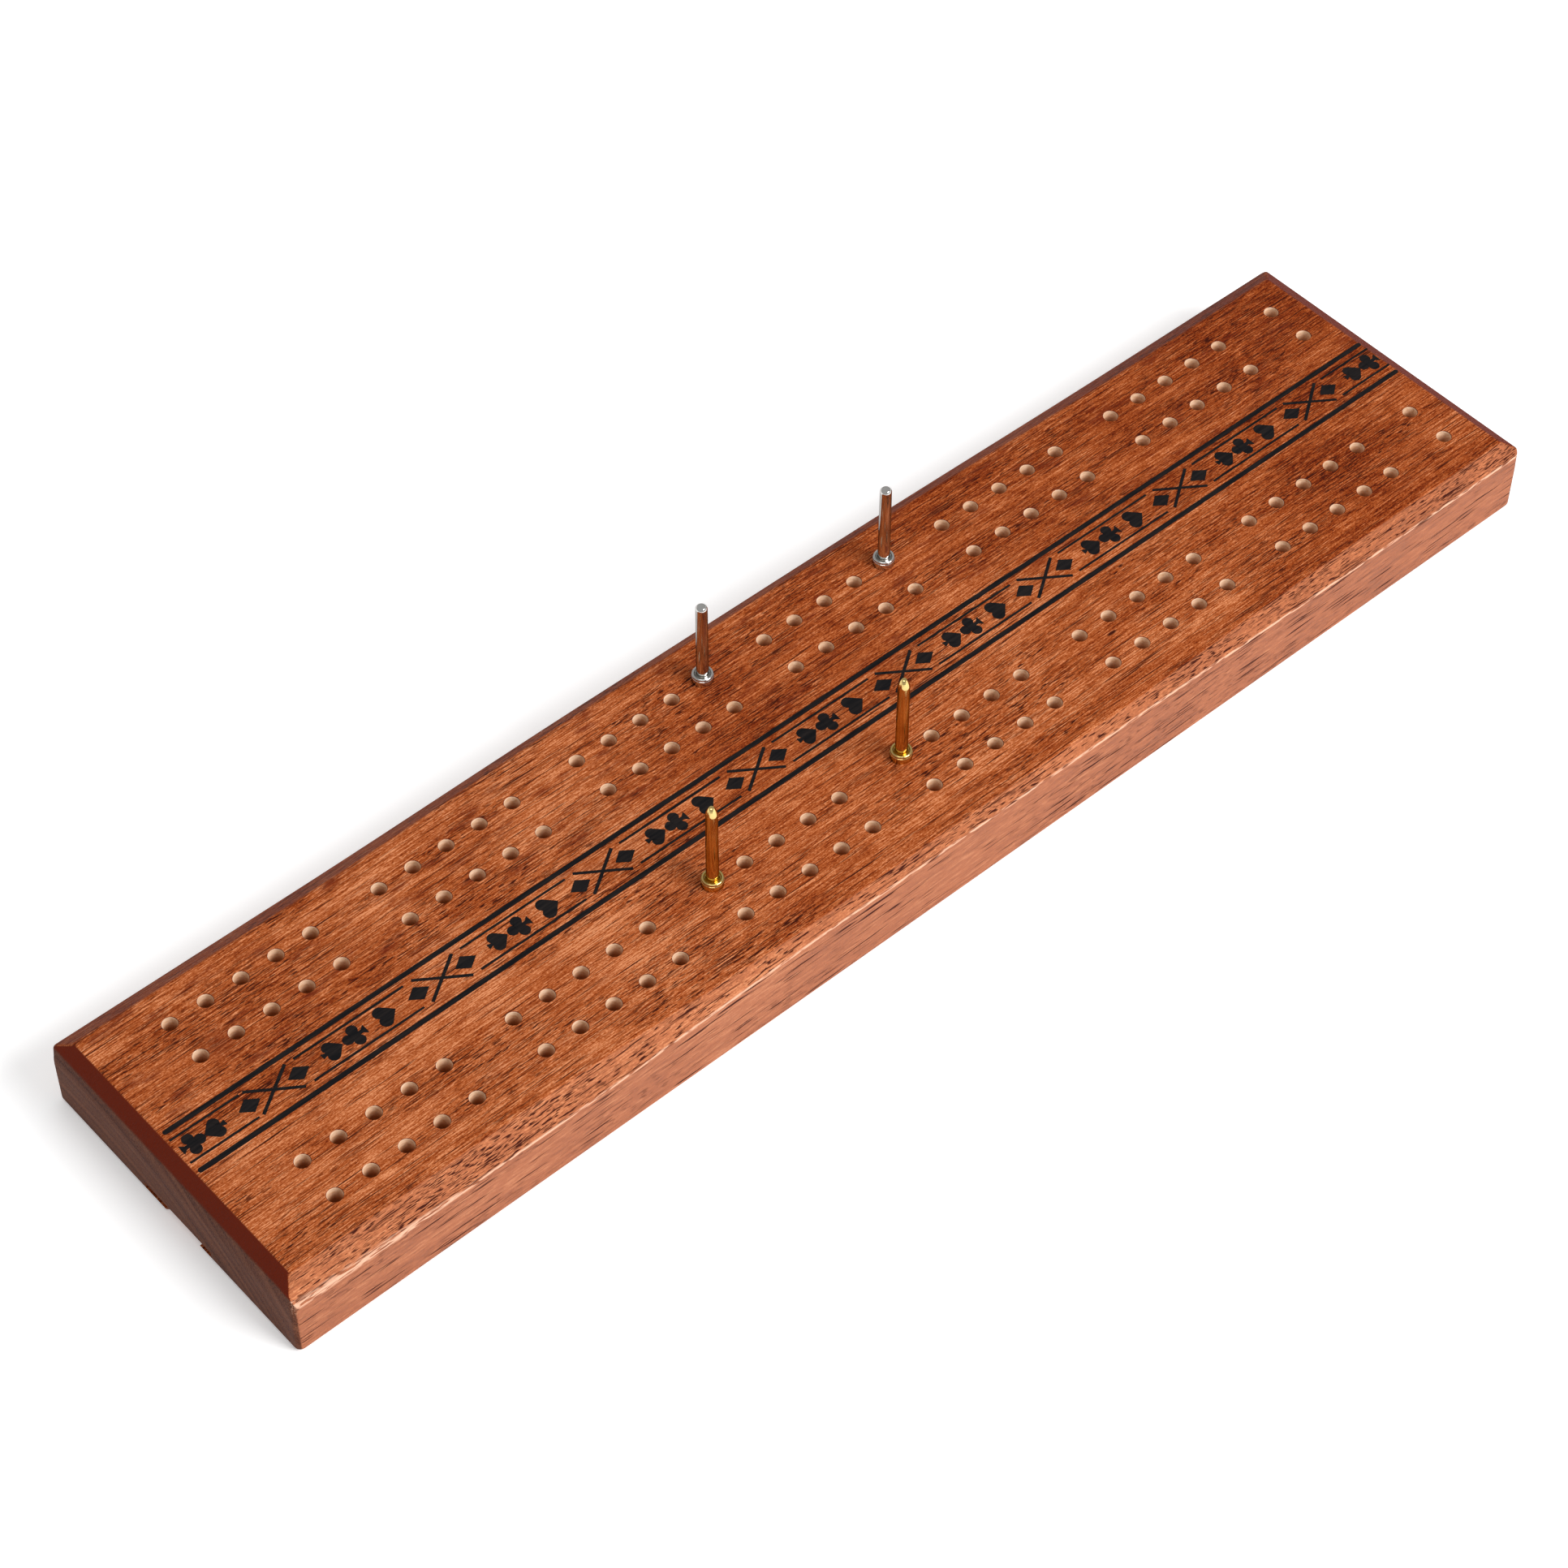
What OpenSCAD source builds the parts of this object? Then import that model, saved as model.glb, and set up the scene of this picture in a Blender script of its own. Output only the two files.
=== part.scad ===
// Cribbage board: a chamfered hardwood plank with four rows of peg holes, a band of
// card suits stamped in black along its middle, four metal pegs standing in their holes,
// and a peg store underneath that a thin metal lid closes.
// Millimetres. The origin is the middle of the underside, X runs along the board towards
// the start holes, Y across it and Z up.

/* [Board] */

// Length of the board
board_l = 305; // [290:1:360]
// Width of the board
board_w = 71; // [66:0.5:90]
// Thickness of the board
board_t = 17.8; // [16:0.1:24]
// Width of the chamfer round the top face
chamfer = 2.4; // [0.5:0.1:3.5]
// How far the sanded upper part of each end leans in
end_lean = 0.5; // [0.1:0.1:1.5]
// Depth below the top face at which that lean starts
end_ridge = 5.6; // [4:0.1:9]
// Width of the small chamfer round the underside
foot_chamfer = 0.8; // [0.2:0.1:1.5]
// Radius of the four upright corners
corner_r = 1.2; // [0.4:0.1:4]

/* [Peg holes] */

// Distance from one hole to the next along a row
pitch = 7.68; // [7:0.01:8]
// Holes in one group
group_holes = 5; // [3:1:5]
// Groups in one row
groups = 6; // [2:1:6]
// Distance between the two rows of one player
row_gap = 9.17; // [8:0.01:12]
// Distance between the inner rows of the two players
street_gap = 29.5; // [27:0.1:34]
// Diameter of a peg hole
hole_d = 2.9; // [2.85:0.05:3.1]
// Depth of a peg hole
hole_depth = 9; // [8.8:0.1:11]

/* [Stamped band] */

// Distance of the thick rules from the middle of the band
thick_rule_y = 5.17; // [5:0.01:8]
// Width of a thick rule
thick_rule_w = 1; // [0.4:0.05:1.5]
// Distance of the thin rules from the middle of the suits
thin_rule_y = 3.05; // [2.8:0.01:3.6]
// Width of a thin rule
thin_rule_w = 0.42; // [0.2:0.01:0.8]
// How far the whole band sits off the middle of the board
band_off = 0.3; // [-2:0.1:2]
// How far the suits and thin rules sit off the middle of the band
suit_off = 0.2; // [-0.5:0.1:0.5]
// Number of crosses along the band
crosses = 8; // [2:1:8]
// Distance from one cross to the next
cross_pitch = 36.87; // [34:0.01:37]
// Thickness of the ink, which lies on the top face
ink_t = 0.05; // [0.02:0.01:0.2]

/* [Pegs] */

// Diameter of the shank that goes into a hole
shank_d = 2.75; // [2.6:0.05:2.8]
// Length of the shank
shank_l = 8.5; // [6:0.1:8.6]
// Diameter of the collar that stops on the board
collar_d = 4.3; // [3.6:0.1:6]
// Height of the collar
collar_h = 2; // [1:0.1:3]
// Diameter of the stem
stem_d = 2.2; // [1.6:0.1:2.6]
// Height of the stem above the board, without its tip
stem_h = 19.8; // [14:0.1:30]
// Radius of the hollow between the collar and the stem
flare_r = 1; // [0.5:0.1:1.2]

/* [Peg store and lid] */

// Distance from the end of the board to the lid
lid_setback = 5; // [2:0.5:8]
// Length of the lid
lid_l = 120; // [120:1:140]
// Width of the lid
lid_w = 18.9; // [18:0.1:20]
// Thickness of the lid
lid_t = 1.3; // [0.8:0.1:1.6]
// Thickness of the two lips that the lid slides on
lip_t = 1.1; // [0.8:0.1:1.8]
// Width of the open mouth between the lips
mouth_w = 10.2; // [8:0.1:12]
// How far the mouth sits off the middle of the board
mouth_off = -1.9; // [-3:0.1:3]
// How far the lid and its channel sit off the middle of the board
channel_off = -0.6; // [-1:0.1:1]
// Length of the peg store
store_l = 100; // [60:1:100]
// Width of the peg store
store_w = 13; // [8:0.5:14]
// Depth of the peg store above the lid
store_h = 8.5; // [6:0.1:9]

/* [Hidden] */

$fn = 48;
eps = 0.01;
fit = 0.2;                                     // play of the lid in its channel, each way

end_x = board_l/2;
// The group pattern: group_holes holes, then one place left out.
group_pitch = (group_holes + 1)*pitch;
columns = [for (g = [0:groups-1], h = [0:group_holes-1]) g*(group_holes + 1) + h];
start_column = groups*(group_holes + 1);
first_x = -(start_column - 1)*pitch/2;
row_ys = [-street_gap/2 - row_gap, -street_gap/2, street_gap/2, street_gap/2 + row_gap];

channel_h = lid_t + fit;
channel_w = lid_w + 3*fit;
ceiling_z = lip_t + channel_h;
lid_z = lip_t + fit/4;
lid_x = -end_x + lid_setback;
// Middle of the round inner end of the lid; the channel and the mouth end round there too.
round_x = lid_x + lid_l - lid_w/2;
store_x = lid_x + 12;

wood = [0.66, 0.33, 0.17];
ink = [0.10, 0.10, 0.11];
silver = [0.80, 0.80, 0.80];
brass = [0.80, 0.64, 0.30];
steel = [0.62, 0.63, 0.64];

function hole_x(column) = first_x + column*pitch;

// ---- board ----

// A slot with round ends, from a to b along X, width w, starting at height z.
module slot(a, b, w, h, z, y = 0)
    translate([0, y, z]) linear_extrude(h) {
        translate([a, -w/2]) square([b - a, w]);
        translate([a, 0]) circle(d = w);
        translate([b, 0]) circle(d = w);
    }

module rounded_plan(l, w, r) {
    square([l - 2*r, w], center = true);
    square([l, w - 2*r], center = true);
    for (x = [-1, 1], y = [-1, 1])
        translate([x*(l/2 - r), y*(w/2 - r)]) circle(r);
}

// Cross-section of the board, or with a lean its long section.
module section(w, lean = 0)
    polygon([[-w/2 + foot_chamfer, 0], [w/2 - foot_chamfer, 0], [w/2, foot_chamfer],
             [w/2, board_t - (lean ? end_ridge : chamfer)],
             [w/2 - lean, board_t - chamfer],
             [w/2 - lean - chamfer, board_t],
             [-w/2 + lean + chamfer, board_t],
             [-w/2 + lean, board_t - chamfer],
             [-w/2, board_t - (lean ? end_ridge : chamfer)],
             [-w/2, foot_chamfer]]);

module blank()
    intersection() {
        translate([-end_x, 0, 0]) rotate([90, 0, 90]) linear_extrude(board_l) section(board_w);
        translate([0, board_w/2, 0]) rotate([90, 0, 0]) linear_extrude(board_w)
            section(board_l, end_lean);
        linear_extrude(board_t) rounded_plan(board_l, board_w, corner_r);
    }

module peg_holes()
    for (column = concat(columns, start_column), y = row_ys)
        translate([hole_x(column), y, board_t - hole_depth]) cylinder(h = hole_depth + 1, d = hole_d);

module board()
    color(wood) difference() {
        blank();
        peg_holes();
        slot(-end_x - 20, round_x, mouth_w, lip_t + 1 + eps, -1, mouth_off);
        slot(-end_x - 20, round_x + fit, channel_w, channel_h, lip_t, channel_off);
        slot(store_x + store_w/2, store_x + store_l - store_w/2, store_w, store_h + eps,
             ceiling_z - eps, channel_off);
    }

// ---- lid of the peg store ----

rib_d = 1;                                     // half of each grip rib is sunk in the lid
rib_l = 7;
ribs = 3;
rib_pitch = 3;

module store_lid()
    color(steel) {
        translate([0, channel_off, lid_z]) linear_extrude(lid_t) {
            translate([lid_x, -lid_w/2]) square([round_x - lid_x, lid_w]);
            translate([round_x, 0]) circle(d = lid_w);
        }
        for (i = [0:ribs-1])
            translate([lid_x + 5 + i*rib_pitch, mouth_off, lid_z + 0.05])
                rotate([90, 0, 0]) cylinder(h = rib_l, d = rib_d, center = true);
    }

// ---- stamped band ----

cross_x = [for (i = [0:crosses-1]) (i - (crosses - 1)/2)*cross_pitch];
group_x = [for (i = [0:crosses-2]) (i - (crosses - 2)/2)*cross_pitch];
rule_x = end_x - end_lean - chamfer - 0.6;     // where the rules end, just short of the chamfer
cross_gap = 6.4;                               // from a cross's middle to the nearest thin rule
spade_from_cross = 12.27;                      // in the two end pairs
club_from_cross = 17.45;
spade_in_group = -6.18;                        // from the middle of a group of three suits
club_in_group = -0.71;
heart_in_group = 5.22;

// Places what is stamped on the top face, y off the board's middle.
module stamp(y = band_off + suit_off)
    color(ink) translate([0, y, board_t]) children();

// Gives an outline the ink's thickness. Outlines that overlap are thickened one by one.
module inked()
    linear_extrude(ink_t) children();

module rule(a, b, y, w)
    translate([a, y - w/2]) inked() square([b - a, w]);

module stamped_rules() {
    stamp(band_off) for (y = [-thick_rule_y, thick_rule_y]) {
        rule(-rule_x + thick_rule_w/2, rule_x - thick_rule_w/2, y, thick_rule_w);
        for (s = [-1, 1]) translate([s*(rule_x - thick_rule_w/2), y]) inked()
            circle(d = thick_rule_w);
    }
    stamp() for (y = [-thin_rule_y, thin_rule_y]) {
        rule(-rule_x, cross_x[0] - cross_gap + 1, y, thin_rule_w);
        rule(cross_x[crosses-1] + cross_gap, rule_x, y, thin_rule_w);
        for (x = group_x)
            rule(x - cross_pitch/2 + cross_gap, x + cross_pitch/2 - cross_gap, y, thin_rule_w);
    }
}

arm_l = 10.9;
arm_w = 0.5;
arm_angle = 34.5;

module stamped_crosses()
    stamp() for (x = cross_x, a = [-arm_angle, arm_angle])
        translate([x, 0]) rotate(a) inked() square([arm_l, arm_w], center = true);

diamond_x = 5.25;                              // from a cross's middle to each diamond's
diamond_l = 4.3;
diamond_w = 3.15;

module stamped_diamonds()
    stamp() for (x = cross_x, s = [-1, 1]) translate([x + s*diamond_x, 0]) inked()
        polygon([[-diamond_l/2, 0], [0, -diamond_w/2], [diamond_l/2, 0], [0, diamond_w/2]]);

// Two lobes that run out straight to a tip at +X, as on a heart or a spade.
module lobed_leaf(r, spread, tip) {
    reach = norm([tip, spread]);
    a = acos(r/reach) - atan2(spread, tip);
    touch = [r*cos(a), spread + r*sin(a)];
    for (s = [-1, 1]) translate([0, s*spread]) inked() circle(r);
    inked() polygon([touch, [tip, 0], [touch[0], -touch[1]], [-r/2, -spread/2], [-r/2, spread/2]]);
}

// Stem of a spade or a club: a neck from a to b along X, and a foot that widens to w.
module stem(a, b, neck, w) {
    d = sign(b - a);
    inked() polygon([[a, neck/2], [b - d*0.7, neck/2], [b, w/2], [b, -w/2],
                     [b - d*0.7, -neck/2], [a, -neck/2]]);
}

module spade() {
    lobed_leaf(1.02, 1.02, 2.35);
    stem(-0.5, -1.75, 0.4, 0.9);
}

module club() {
    for (p = [[0, 1.3], [0, -1.3], [-1.66, 0]]) translate(p) inked() circle(0.96);
    inked() polygon([[-1.5, 0.6], [0.6, 1], [0.6, -1], [-1.5, -0.6]]);
    stem(0.3, 2.05, 0.5, 1.75);
}

module at_ends(from_cross) {
    translate([cross_x[crosses-1] + from_cross, 0]) children();
    translate([cross_x[0] - from_cross, 0]) rotate(180) children();
}

module stamped_spades()
    stamp() {
        for (x = group_x) translate([x + spade_in_group, 0]) spade();
        at_ends(spade_from_cross) spade();
    }

module stamped_clubs()
    stamp() {
        for (x = group_x) translate([x + club_in_group, 0]) club();
        at_ends(club_from_cross) club();
    }

module stamped_hearts()
    stamp() for (x = group_x) translate([x + heart_in_group, 0]) lobed_leaf(1.15, 1.1, 2.6);

// ---- pegs ----

shank_tip = 0.4;
collar_edge = 0.15;

// A turned peg standing in the hole at this column and row. Its tip narrows to tip_r.
module peg(column, row, tip_h, tip_r)
    translate([hole_x(column), row_ys[row], board_t]) rotate_extrude() {
        polygon([[0, -shank_l], [shank_d/2 - shank_tip, -shank_l],
                 [shank_d/2, shank_tip - shank_l], [shank_d/2, 0],
                 [collar_d/2 - collar_edge, 0], [collar_d/2, collar_edge],
                 [collar_d/2, collar_h - collar_edge], [collar_d/2 - collar_edge, collar_h],
                 [stem_d/2, collar_h], [stem_d/2, stem_h], [tip_r, stem_h + tip_h],
                 [0, stem_h + tip_h]]);
        difference() {
            translate([0, collar_h - eps])
                square([stem_d/2 + min(flare_r, (collar_d - stem_d)/2 - collar_edge), flare_r]);
            translate([stem_d/2 + flare_r, collar_h + flare_r]) circle(flare_r);
        }
    }

module silver_peg(column) color(silver) peg(column, 3, 0.45, 0.65);
module brass_peg(column) color(brass) peg(column, 1, 1.6, 0.3);

board();
store_lid();
stamped_rules();
stamped_crosses();
stamped_diamonds();
stamped_spades();
stamped_clubs();
stamped_hearts();
silver_peg(16);  // silver_peg_1
silver_peg(22);  // silver_peg_2
brass_peg(12);  // brass_peg_1
brass_peg(18);  // brass_peg_2
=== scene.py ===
# Cribbage board: a stained hardwood block with drilled peg holes, a stamped band of card suits,
# two nickel pegs, two brass pegs, and a steel lid over the peg store underneath.
import math

import bmesh
import bpy
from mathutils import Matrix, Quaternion, Vector, noise


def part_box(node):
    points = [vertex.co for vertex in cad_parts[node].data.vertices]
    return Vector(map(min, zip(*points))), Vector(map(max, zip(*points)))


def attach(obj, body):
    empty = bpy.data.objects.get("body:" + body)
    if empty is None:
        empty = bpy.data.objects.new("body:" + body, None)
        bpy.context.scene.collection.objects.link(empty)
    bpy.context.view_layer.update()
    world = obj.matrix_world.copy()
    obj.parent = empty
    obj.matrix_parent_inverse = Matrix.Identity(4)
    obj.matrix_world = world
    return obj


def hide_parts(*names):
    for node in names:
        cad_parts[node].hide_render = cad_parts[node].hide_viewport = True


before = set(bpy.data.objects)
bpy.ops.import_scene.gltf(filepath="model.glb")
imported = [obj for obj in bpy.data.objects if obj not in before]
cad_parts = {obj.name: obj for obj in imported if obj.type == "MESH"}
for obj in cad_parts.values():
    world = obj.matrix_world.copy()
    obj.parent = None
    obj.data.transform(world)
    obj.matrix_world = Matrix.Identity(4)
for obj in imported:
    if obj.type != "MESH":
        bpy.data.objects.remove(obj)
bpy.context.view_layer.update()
mm = 0.001


def smooth(value, start, end):
    t = min(max((value - start) / (end - start), 0.0), 1.0)
    return t * t * (3 - 2 * t)


def meshPiece(name, vertices, faces):
    mesh = bpy.data.meshes.new(name)
    mesh.from_pydata(vertices, [], faces)
    mesh.validate()
    mesh.update()
    piece = bpy.data.objects.new(name, mesh)
    bpy.context.scene.collection.objects.link(piece)
    return piece


def keepEvaluated(piece):
    # swaps the piece's mesh for the one its modifiers give
    graph = bpy.context.evaluated_depsgraph_get()
    done = bpy.data.meshes.new_from_object(piece.evaluated_get(graph))
    piece.modifiers.clear()
    piece.data = done


def smoothFaces(piece, degrees):
    piece.data.polygons.foreach_set("use_smooth", [True] * len(piece.data.polygons))
    piece.data.set_sharp_from_angle(angle=math.radians(degrees))
    weighted = piece.modifiers.new("flat faces stay flat", "WEIGHTED_NORMAL")
    weighted.keep_sharp = True
    weighted.weight = 80


view = {
    "place": (-327.58, -355.48, 572.11),   # mm, as the aim is
    "aim": (-16.99, -5.55, 17.8),
    "roll": 0.37,                          # degrees
    "lens": 90.31,
}

camera = bpy.data.objects.new("camera", bpy.data.cameras.new("camera"))
camera.data.lens = view["lens"]
camera.data.sensor_width = 36
camera.data.clip_start = 0.02
camera.location = Vector(view["place"]) * mm
aim = (Vector(view["aim"]) - Vector(view["place"])).to_track_quat("-Z", "Y")
camera.rotation_mode = "QUATERNION"
camera.rotation_quaternion = aim @ Quaternion((0, 0, 1), math.radians(view["roll"]))
bpy.context.scene.collection.objects.link(camera)
bpy.context.scene.camera = camera
bpy.context.scene.view_settings.view_transform = "Standard"

studio = {                                 # places and sizes in metres, powers in watts
    "sky": 0.42,
    "keyPlace": (0.42, -1.05, 0.92), "keyPower": 22.5, "keySize": (0.9, 0.7),
    "topPlace": (-0.05, 0.05, 1.3), "topPower": 3.5, "topSize": (0.8, 0.5),
    "floor": (0.9, 0.9, 0.9), "floorGlow": 0.3,
}


def softBox(name, place, power, size):
    light = bpy.data.objects.new(name, bpy.data.lights.new(name, "AREA"))
    light.data.shape = "RECTANGLE"
    light.data.size, light.data.size_y = size
    light.data.energy = power
    light.location = place
    light.rotation_euler = (-Vector(place)).to_track_quat("-Z", "Y").to_euler()
    bpy.context.scene.collection.objects.link(light)


softBox("key softbox", studio["keyPlace"], studio["keyPower"], studio["keySize"])
softBox("top softbox", studio["topPlace"], studio["topPower"], studio["topSize"])

sky = bpy.data.worlds.new("studio air")
sky.use_nodes = True
sky.node_tree.nodes["Background"].inputs["Color"].default_value = (1, 1, 1, 1)
sky.node_tree.nodes["Background"].inputs["Strength"].default_value = studio["sky"]
bpy.context.scene.world = sky


def emptyMaterial(name):
    material = bpy.data.materials.new(name)
    material.use_nodes = True
    material.node_tree.nodes.clear()
    return material, material.node_tree.nodes, material.node_tree.links


def layOut(groups):
    # the nodes of each group in a row inside their frame
    spacing = 190
    for group, members, left, top in groups:
        for i, node in enumerate(members):
            node.parent = group
            node.location = (left + i * spacing, top)


def floorPaper():
    paper, nodes, links = emptyMaterial("floor paper")

    output = nodes.new("ShaderNodeOutputMaterial")
    output.label = "Floor surface"
    sheet = nodes.new("ShaderNodeBsdfPrincipled")
    sheet.label = "Paper on a light table"
    for node, x, y in ((output, 300, 0), (sheet, 0, 0)):
        node.location = (x, y)

    sheet.inputs["Base Color"].default_value = (*studio["floor"], 1)
    sheet.inputs["Roughness"].default_value = 0.9
    sheet.inputs["Specular IOR Level"].default_value = 0.1
    sheet.inputs["Emission Color"].default_value = (1, 1, 1, 1)
    sheet.inputs["Emission Strength"].default_value = studio["floorGlow"]

    links.new(sheet.outputs["BSDF"], output.inputs["Surface"])
    return paper


floor = meshPiece("floor", [(-4, -4, 0), (4, -4, 0), (4, 4, 0), (-4, 4, 0)], [(0, 1, 2, 3)])
floor.data.materials.append(floorPaper())
print("camera, lights and floor ready")


def stainedWood(name, stain, wearAndSheen, marks):
    wood, nodes, links = emptyMaterial(name)

    # grain directions
    place = nodes.new("ShaderNodeTexCoord")
    place.label = "Place on the board"
    millimetres = nodes.new("ShaderNodeVectorMath")
    millimetres.label = "In millimetres"
    bendScale = nodes.new("ShaderNodeVectorMath")
    bendScale.label = "Length of the grain's bends"
    bendNoise = nodes.new("ShaderNodeTexNoise")
    bendNoise.label = "Grain bends"
    bendMiddle = nodes.new("ShaderNodeVectorMath")
    bendMiddle.label = "Bend both ways"
    bendAmount = nodes.new("ShaderNodeVectorMath")
    bendAmount.label = "How far the grain bends"
    grain = nodes.new("ShaderNodeVectorMath")
    grain.label = "Along the grain"
    parts = nodes.new("ShaderNodeSeparateXYZ")
    parts.label = "Along, across, up"
    facing = nodes.new("ShaderNodeSeparateXYZ")
    facing.label = "Which way the face looks"
    sideAway = nodes.new("ShaderNodeMath")
    sideAway.label = "Either long side"
    sideMask = nodes.new("ShaderNodeMapRange")
    sideMask.label = "Long sides"
    endAway = nodes.new("ShaderNodeMath")
    endAway.label = "Either end"
    endMask = nodes.new("ShaderNodeMapRange")
    endMask.label = "End grain"
    grainFrame = nodes.new("NodeFrame")
    grainFrame.label = "Direction of the grain"

    # growth layers
    pith = nodes.new("ShaderNodeVectorMath")
    pith.label = "From the middle of the tree"
    acrossTree = nodes.new("ShaderNodeVectorMath")
    acrossTree.label = "Across the trunk only"
    ringRadius = nodes.new("ShaderNodeVectorMath")
    ringRadius.label = "Distance from the pith"
    ringSpace = nodes.new("ShaderNodeCombineXYZ")
    ringSpace.label = "Layer by layer"
    ringStretch = nodes.new("ShaderNodeMath")
    ringStretch.label = "Layers run along the board"
    ringWidth = nodes.new("ShaderNodeMath")
    ringWidth.label = "Width of the layers"
    ringNoise = nodes.new("ShaderNodeTexNoise")
    ringNoise.label = "Growth layers"
    ringFrame = nodes.new("NodeFrame")
    ringFrame.label = "Growth layers"

    # strands, fibres, flecks and figure
    strandScale = nodes.new("ShaderNodeVectorMath")
    strandScale.label = "Length of the strands"
    strandNoise = nodes.new("ShaderNodeTexNoise")
    strandNoise.label = "Long strands"
    fibreScale = nodes.new("ShaderNodeVectorMath")
    fibreScale.label = "Length of the fibres"
    fibreNoise = nodes.new("ShaderNodeTexNoise")
    fibreNoise.label = "Fibres"
    fleckScale = nodes.new("ShaderNodeVectorMath")
    fleckScale.label = "Size of the flecks"
    fleckNoise = nodes.new("ShaderNodeTexNoise")
    fleckNoise.label = "Shimmering flecks"
    fleckMiddle = nodes.new("ShaderNodeMath")
    fleckMiddle.label = "Flecks light and dark"
    fleckFade = nodes.new("ShaderNodeMapRange")
    fleckFade.label = "Fewer flecks on the sides"
    fleckKept = nodes.new("ShaderNodeMath")
    fleckKept.label = "Flecks where they show"
    figureScale = nodes.new("ShaderNodeVectorMath")
    figureScale.label = "Size of the cross figure"
    figureNoise = nodes.new("ShaderNodeTexNoise")
    figureNoise.label = "Figure across the grain"
    blotchScale = nodes.new("ShaderNodeVectorMath")
    blotchScale.label = "Size of the stain blotches"
    blotchNoise = nodes.new("ShaderNodeTexNoise")
    blotchNoise.label = "Stain blotches"
    blotchMask = nodes.new("ShaderNodeMapRange")
    blotchMask.label = "Where stain gathers"
    figureFrame = nodes.new("NodeFrame")
    figureFrame.label = "Strands, fibres, flecks and figure"

    # open pores
    poreScale = nodes.new("ShaderNodeVectorMath")
    poreScale.label = "Size of the short pores"
    poreNoise = nodes.new("ShaderNodeTexNoise")
    poreNoise.label = "Short pores"
    poreMask = nodes.new("ShaderNodeMapRange")
    poreMask.label = "Short pores cut out"
    crowdScale = nodes.new("ShaderNodeVectorMath")
    crowdScale.label = "Size of the pore belts"
    crowdNoise = nodes.new("ShaderNodeTexNoise")
    crowdNoise.label = "Belts of pores"
    crowdMask = nodes.new("ShaderNodeMapRange")
    crowdMask.label = "Where pores crowd"
    crowdedPores = nodes.new("ShaderNodeMath")
    crowdedPores.label = "Pores in their belts"
    topPores = nodes.new("ShaderNodeMath")
    topPores.label = "Short pores thin out on the sides"
    lineScale = nodes.new("ShaderNodeVectorMath")
    lineScale.label = "Size of the long pores"
    lineNoise = nodes.new("ShaderNodeTexNoise")
    lineNoise.label = "Long thin pores"
    lineMask = nodes.new("ShaderNodeMapRange")
    lineMask.label = "Long pores cut out"
    allPores = nodes.new("ShaderNodeMath")
    allPores.label = "All pores"
    poreFrame = nodes.new("NodeFrame")
    poreFrame.label = "Open pores"

    # tone by place
    farHalf = nodes.new("ShaderNodeMapRange")
    farHalf.label = "Darker heart side"
    edgeBelt = nodes.new("ShaderNodeMapRange")
    edgeBelt.label = "Dark belt by the near edge"
    startEnd = nodes.new("ShaderNodeMapRange")
    startEnd.label = "Redder towards the start"
    toneRing = nodes.new("ShaderNodeMath")
    toneRing.label = "Tone with layers"
    toneCrowd = nodes.new("ShaderNodeMath")
    toneCrowd.label = "Tone with pore belts"
    toneStrand = nodes.new("ShaderNodeMath")
    toneStrand.label = "Tone with strands"
    toneFibre = nodes.new("ShaderNodeMath")
    toneFibre.label = "Tone with fibres"
    toneFleck = nodes.new("ShaderNodeMath")
    toneFleck.label = "Tone with flecks"
    toneFigure = nodes.new("ShaderNodeMath")
    toneFigure.label = "Tone with figure"
    toneHalf = nodes.new("ShaderNodeMath")
    toneHalf.label = "Tone with heart side"
    toneBelt = nodes.new("ShaderNodeMath")
    toneBelt.label = "Tone with near belt"
    toneStart = nodes.new("ShaderNodeMath")
    toneStart.label = "Tone with start end"
    toneFrame = nodes.new("NodeFrame")
    toneFrame.label = "Tone"

    # marks of this one board
    patchAway = nodes.new("ShaderNodeVectorMath")
    patchAway.label = "From the dark patch"
    patchMask = nodes.new("ShaderNodeMapRange")
    patchMask.label = "Dark patch, torn by the grain"
    patchTorn = nodes.new("ShaderNodeMath")
    patchTorn.label = "Ragged outline of the patch"
    knotOffset = nodes.new("ShaderNodeVectorMath")
    knotOffset.label = "From the pin knot"
    knotStretch = nodes.new("ShaderNodeVectorMath")
    knotStretch.label = "Knot lies along the grain"
    knotAway = nodes.new("ShaderNodeVectorMath")
    knotAway.label = "Distance from the knot"
    knotMask = nodes.new("ShaderNodeMapRange")
    knotMask.label = "Pin knot"
    darkMarks = nodes.new("ShaderNodeMath")
    darkMarks.label = "Pores and knot"
    markFrame = nodes.new("NodeFrame")
    markFrame.label = "Dark patch and pin knot"

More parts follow.
